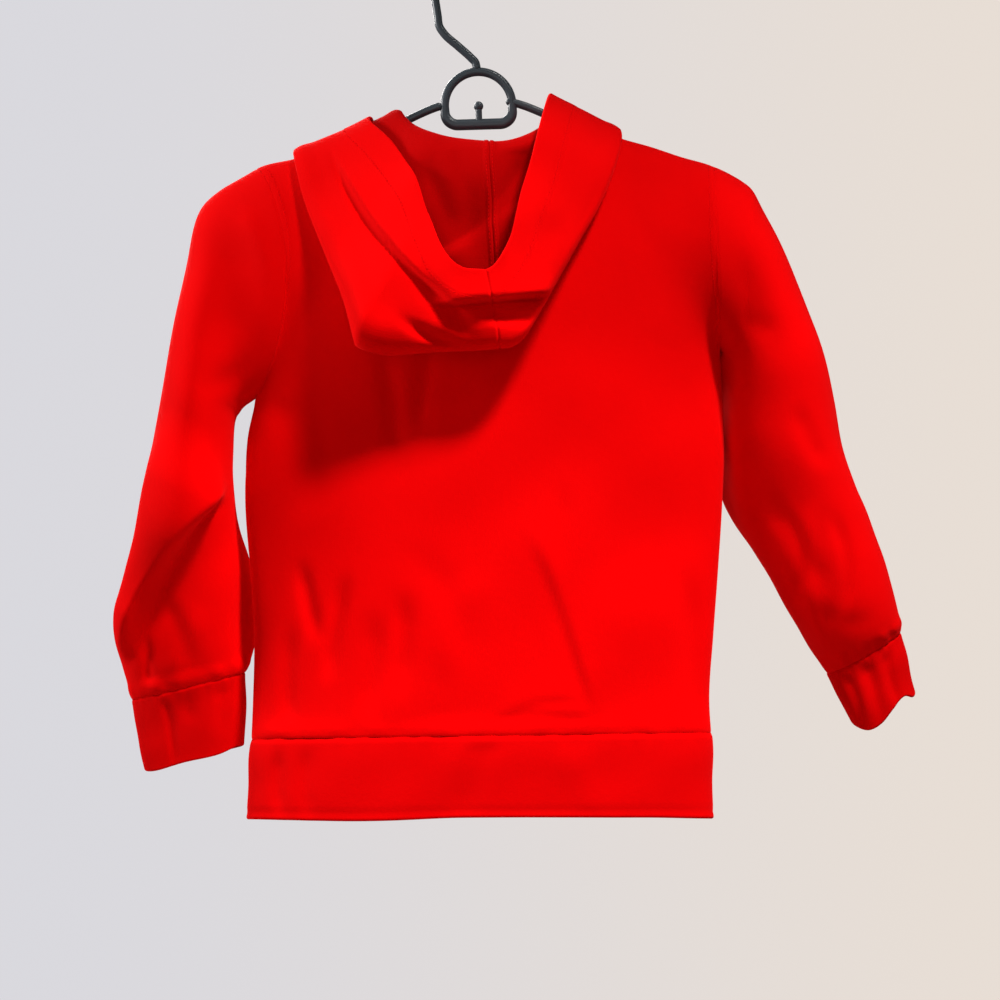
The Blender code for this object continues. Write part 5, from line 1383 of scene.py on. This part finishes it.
def make_bead():
    """A bead of length and thickness one: three rings with a point at each end."""
    turn = np.arange(BEAD_SIDES) * 2 * math.pi / BEAD_SIDES
    rings = [np.stack([np.full(BEAD_SIDES, at), 0.5 * size * np.cos(turn), 0.5 * size * np.sin(turn)], -1)
             for at, size in BEAD_RINGS]
    s = np.arange(BEAD_SIDES)
    e = (s + 1) % BEAD_SIDES
    faces = []
    for ring in (0, BEAD_SIDES):
        faces.append(np.stack([ring + s, ring + e, ring + e + BEAD_SIDES], -1))
        faces.append(np.stack([ring + s, ring + e + BEAD_SIDES, ring + s + BEAD_SIDES], -1))
    last = 2 * BEAD_SIDES
    faces.append(np.stack([e, s, np.full(BEAD_SIDES, last + BEAD_SIDES)], -1))
    faces.append(np.stack([last + s, last + e, np.full(BEAD_SIDES, last + BEAD_SIDES + 1)], -1))
    return np.concatenate([*rings, [[-0.5, 0.0, 0.0], [0.5, 0.0, 0.0]]]), np.concatenate(faces)


bead, bead_faces = make_bead()
stitches = []


def sew(path, outwards):
    """Beads at even distances along a path: long side along it, thin side off the cloth."""
    length = along(path)

    def between(values, places):
        return np.stack([np.interp(places, length, values[:, n]) for n in range(3)], -1)

    at = np.arange(0.5 * STITCH_PITCH, length[-1], STITCH_PITCH)
    off = unit(between(outwards, at))
    ahead = between(path, at + STITCH_REACH) - between(path, at - STITCH_REACH)
    ahead = unit(ahead - off * np.sum(ahead * off, axis=1, keepdims=True))
    axes = np.stack([ahead * STITCH_LENGTH, np.cross(off, ahead) * STITCH_THICK, off * STITCH_THICK], 1)
    stitches.append((between(path, at) + off * STITCH_LIFT)[:, None] + np.einsum("bk,nkc->nbc", bead, axes))


def line_at(grid, outwards, distance, target, axis):
    """The points of a grid at one distance from an edge, along its rows (axis 1) or columns (axis 0)."""
    if axis == 0:
        grid, outwards, distance = (np.swapaxes(values, 0, 1) for values in (grid, outwards, distance))
    rows = np.arange(len(distance))
    near = np.argmin(np.abs(distance - target), axis=1)
    beyond = np.where(distance[rows, near] < target, 1, -1)
    growing = np.sign(distance[rows, -1] - distance[rows, 0]).astype(int)
    other = np.clip(near + beyond * growing, 0, distance.shape[1] - 1)
    gap = distance[rows, other] - distance[rows, near]
    wide = np.abs(gap) > 1e-6
    t = np.where(wide, (target - distance[rows, near]) / np.where(wide, gap, 1.0), 0.0)
    t = np.clip(t, 0, 1)[:, None]
    return (grid[rows, near] * (1 - t) + grid[rows, other] * t,
            unit(outwards[rows, near] * (1 - t) + outwards[rows, other] * t))


def sew_hood():
    """The face edge, outside and inside, and the twin rows beside the centre seam, inside."""
    sew(*line_at(hood_outer, hood_out, hood_from_edge, FACE_HEM - STITCH_INSET, 1))
    sew(*line_at(hood_inner, -hood_out, hood_from_edge, FACE_HEM - STITCH_INSET, 1))
    across = along(hood_inner)
    from_centre = across - across[hood_centre:hood_centre + 1]
    keep = slice(8, -30)  # clear of the neck seam and of the turned face edge
    for side in (-TWIN_ROW, TWIN_ROW):
        path, off = line_at(hood_inner, -hood_out, from_centre, side, 0)
        sew(path[keep], off[keep])


def sew_armholes():
    """One row beside each armhole, on both panels."""
    keep = slice(SIDE_ROWS * ROWS_PER_CELL + 12, -6)
    for grid, out in ((back_grid, back_out), (front_grid, front_out)):
        for distance in (along(grid, 1), along_back(grid, 1)):
            path, off = line_at(grid, out, distance, ARMHOLE_STITCHES, 1)
            sew(path[keep], off[keep])


def sew_pocket():
    """Both sides and the top edge."""
    out = np.broadcast_to([0.0, 1.0, 0.0], pocket_grid.shape)
    for distance in (along(pocket_grid, 1), along_back(pocket_grid, 1)):
        sew(*line_at(pocket_grid, out, distance, OPENING_STITCHES, 1))
    sew(*line_at(pocket_grid, out, along_back(pocket_grid), TOP_STITCHES, 0))


sew_hood()
sew_armholes()
sew_pocket()
beads = np.concatenate(stitches)
all_faces = bead_faces + np.arange(len(beads))[:, None, None] * len(bead)
stitching = put("thread_stitching", beads.reshape(-1, 3), all_faces.reshape(-1, 3), red_thread)
print("stitches:", len(beads))

# %% [markdown]
# ## Ride on one body
#
# Every piece moves with the one body. Each sheet of cloth is listed with the size to which it is cut.

# %% Bodies and cloth
SHEETS = [  # piece, width, length, area in square metres, what it rests on
    (back, 0.40, 0.51, 0.173, "plastic_hanger"),
    (front, 0.40, 0.51, 0.171, "plastic_hanger"),
    (sleeve_left, 0.33, 0.44, 0.0955, "plastic_hanger"),
    (sleeve_right, 0.33, 0.42, 0.0875, "plastic_hanger"),
    (cuff_left, 0.18, 0.066, 0.0112, "cloth_sleeve_left"),
    (cuff_right, 0.13, 0.056, 0.0069, "cloth_sleeve_right"),
    (hem_band, 0.80, 0.066, 0.052, "cloth_back"),
    (hood_left, 0.28, 0.30, 0.0674, "cloth_back"),
    (hood_right, 0.22, 0.25, 0.0422, "cloth_back"),
    (pocket, 0.216, 0.144, 0.0282, "cloth_front")]
for piece, width, length, area, carried_by in SHEETS:
    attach(piece, "root")
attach(hanger, "root")
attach(stitching, "root")
print("sheets of cloth:", len(SHEETS))

# %% [markdown]
# ## Floor, light and camera
#
# A grey floor lies below. A spotlight with a soft edge, high on the right, draws the shadow under the hood,
# and a graduated net holds back its light from the shoulders. A lamp on the left lights the edges there, a
# weak one behind the camera fills, one before the garment serves the other views, and a pale sky does the
# rest. The camera stands 1.3 m behind the garment, a little lower than its middle.

# %% Floor
FLOOR_Z, FLOOR_SIDES = -1.0, 96
FLOOR_RADII = (0.02, 0.2, 0.4, 0.52, 0.56)


def make_floor():
    """A flat disc of rings round a middle."""
    turn = np.linspace(0.0, 2 * math.pi, FLOOR_SIDES + 1)[:-1]
    radii = np.array(FLOOR_RADII)[:, None]
    points = np.stack([radii * np.cos(turn), radii * np.sin(turn), 0 * radii + 0 * turn + FLOOR_Z], -1)
    i, j = np.meshgrid(np.arange(len(FLOOR_RADII) - 1) * FLOOR_SIDES, np.arange(FLOOR_SIDES), indexing="ij")
    k, out = (j + 1) % FLOOR_SIDES, i + FLOOR_SIDES
    quads = np.stack([i + j, out + j, out + k, i + k], -1).reshape(-1, 4)
    mesh = bpy.data.meshes.new("floor")
    mesh.from_pydata(points.reshape(-1, 3).tolist(), [], [*quads.tolist(), list(range(FLOOR_SIDES))])
    paint, tree, shader = new_material("floor_paint")
    feed(tree, shader, ("Base Color", (0.46, 0.445, 0.44, 1.0)), ("Roughness", 0.8))
    mesh.materials.append(paint)
    disc = bpy.data.objects.new("floor", mesh)
    bpy.context.scene.collection.objects.link(disc)
    disc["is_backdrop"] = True
    return disc


floor = make_floor()
print("floor at", FLOOR_Z, "m with", len(floor.data.polygons), "faces")

# %% Light
LIGHT_MIDDLE = Vector((0.02, 0.0, -0.36))
KEY_DROP = 0.2  # the key lamp is lowered without turning it, so its light is strongest lower down


def towards(tree, look, direction, low, high, start=0.0, end=1.0):
    """Eases from start to end as the share of a look along a direction grows from low to high."""
    look = wire(tree, "TexCoord")[look]
    share = wire(tree, "VectorMath", (0, look), (1, direction), operation="DOT_PRODUCT")
    return wire(tree, "MapRange", ("Value", share["Value"]), ("From Min", low), ("From Max", high),
                ("To Min", start), ("To Max", end), interpolation_type="SMOOTHSTEP")["Result"]


SKY_SIDE, SKY_SPAN, SKY_STRENGTH = (0.2, -0.9, 0.3), (-0.9, 1.0), (0.10, 0.24)
SKY_COLOUR = (1.0, 0.98, 0.97, 1.0)
BACKDROP_SPAN, BACKDROP_LEFT = (-0.32, 0.38), (0.695, 0.690, 0.730, 1.0)
BACKDROP_RIGHT = (0.810, 0.730, 0.660, 1.0)


def make_sky():
    """A pale light from all round, stronger from behind the garment, and a backdrop that lights nothing."""
    world = bpy.data.worlds.new("studio")
    bpy.context.scene.world = world
    world.use_nodes = True
    tree = world.node_tree
    behind = towards(tree, "Generated", SKY_SIDE, *SKY_SPAN)
    strength = wire(tree, "MapRange", ("Value", behind), ("To Min", SKY_STRENGTH[0]),
                    ("To Max", SKY_STRENGTH[1]))
    light = feed(tree, tree.nodes["Background"], ("Color", SKY_COLOUR), ("Strength", strength["Result"]))
    right = towards(tree, "Generated", (1.0, 0.0, 0.0), *BACKDROP_SPAN)
    tint = wire(tree, "Mix", ("Factor", right), (6, BACKDROP_LEFT), (7, BACKDROP_RIGHT), data_type="RGBA")
    seen = wire(tree, "Background", ("Color", tint[2]))
    ray = wire(tree, "LightPath")
    mixed = wire(tree, "MixShader", ("Fac", ray["Is Camera Ray"]), (1, light["Background"]),
                 (2, seen["Background"]))
    feed(tree, tree.nodes["World Output"], ("Surface", mixed["Shader"]))


def add_lamp(name, direction, distance, size, power, colour, cone=None):
    """A square lamp, or a soft-edged spotlight, at a distance in a direction from the middle, facing it."""
    lamp = bpy.data.lights.new(name, "SPOT" if cone else "AREA")
    lamp.energy, lamp.color = power, colour
    if cone:
        lamp.shadow_soft_size, lamp.spot_size, lamp.spot_blend = 0.5 * size, math.radians(cone), 1.0
    else:
        lamp.shape, lamp.size = "SQUARE", size
    holder = bpy.data.objects.new(name, lamp)
    way = Vector(direction).normalized()
    holder.location = LIGHT_MIDDLE + distance * way
    holder.rotation_euler = way.to_track_quat("Z", "Y").to_euler()
    bpy.context.scene.collection.objects.link(holder)
    return holder


def add_net(lamp):
    """A graduated net in front of a lamp, which holds back the light that goes to the shoulders."""
    lamp.data.use_nodes = True
    tree = lamp.data.node_tree
    share = towards(tree, "Normal", (0.55, 0.83, 0.0), 0.035, 0.065, 1.0, 0.0)
    feed(tree, tree.nodes["Emission"], ("Strength", share))


make_sky()
key_lamp = add_lamp("key_lamp", (0.36, -0.47, 1.0), 2.0, 0.32, 350.0, (1.0, 0.98, 0.95), cone=31.0)
key_lamp.location.z -= KEY_DROP
add_net(key_lamp)
add_lamp("fill_lamp", (-0.1, -1.2, 0.1), 2.2, 1.2, 4.0, (0.98, 0.98, 1.0))
add_lamp("left_lamp", (-1.0, -0.09, 0.36), 2.0, 0.4, 32.0, (1.0, 0.98, 0.98))
add_lamp("front_lamp", (-0.5, 1.0, 0.7), 2.0, 0.9, 34.0, (1.0, 0.98, 0.96))
print("lamps:", sorted(lamp.name for lamp in bpy.data.lights))

# %% Camera
SENSOR_WIDTH, FRAME_WIDTH, CAMERA_DISTANCE = 36.0, 0.786, 1.3
bpy.context.scene.view_settings.view_transform = "Standard"
camera_data = bpy.data.cameras.new("camera")
camera_data.sensor_width = SENSOR_WIDTH
camera_data.lens = SENSOR_WIDTH * CAMERA_DISTANCE / FRAME_WIDTH
camera = bpy.data.objects.new("camera", camera_data)
camera.location = (0.0204, -CAMERA_DISTANCE, -0.428)
camera.rotation_euler = (math.radians(90.0), 0.0, 0.0)
bpy.context.scene.collection.objects.link(camera)
bpy.context.scene.camera = camera
print("camera lens:", round(camera_data.lens, 2), "mm")

# %% Sizes
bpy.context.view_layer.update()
triangles = sum(len(p.vertices) - 2 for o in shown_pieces() for p in o.data.polygons)
print("triangles:", triangles)
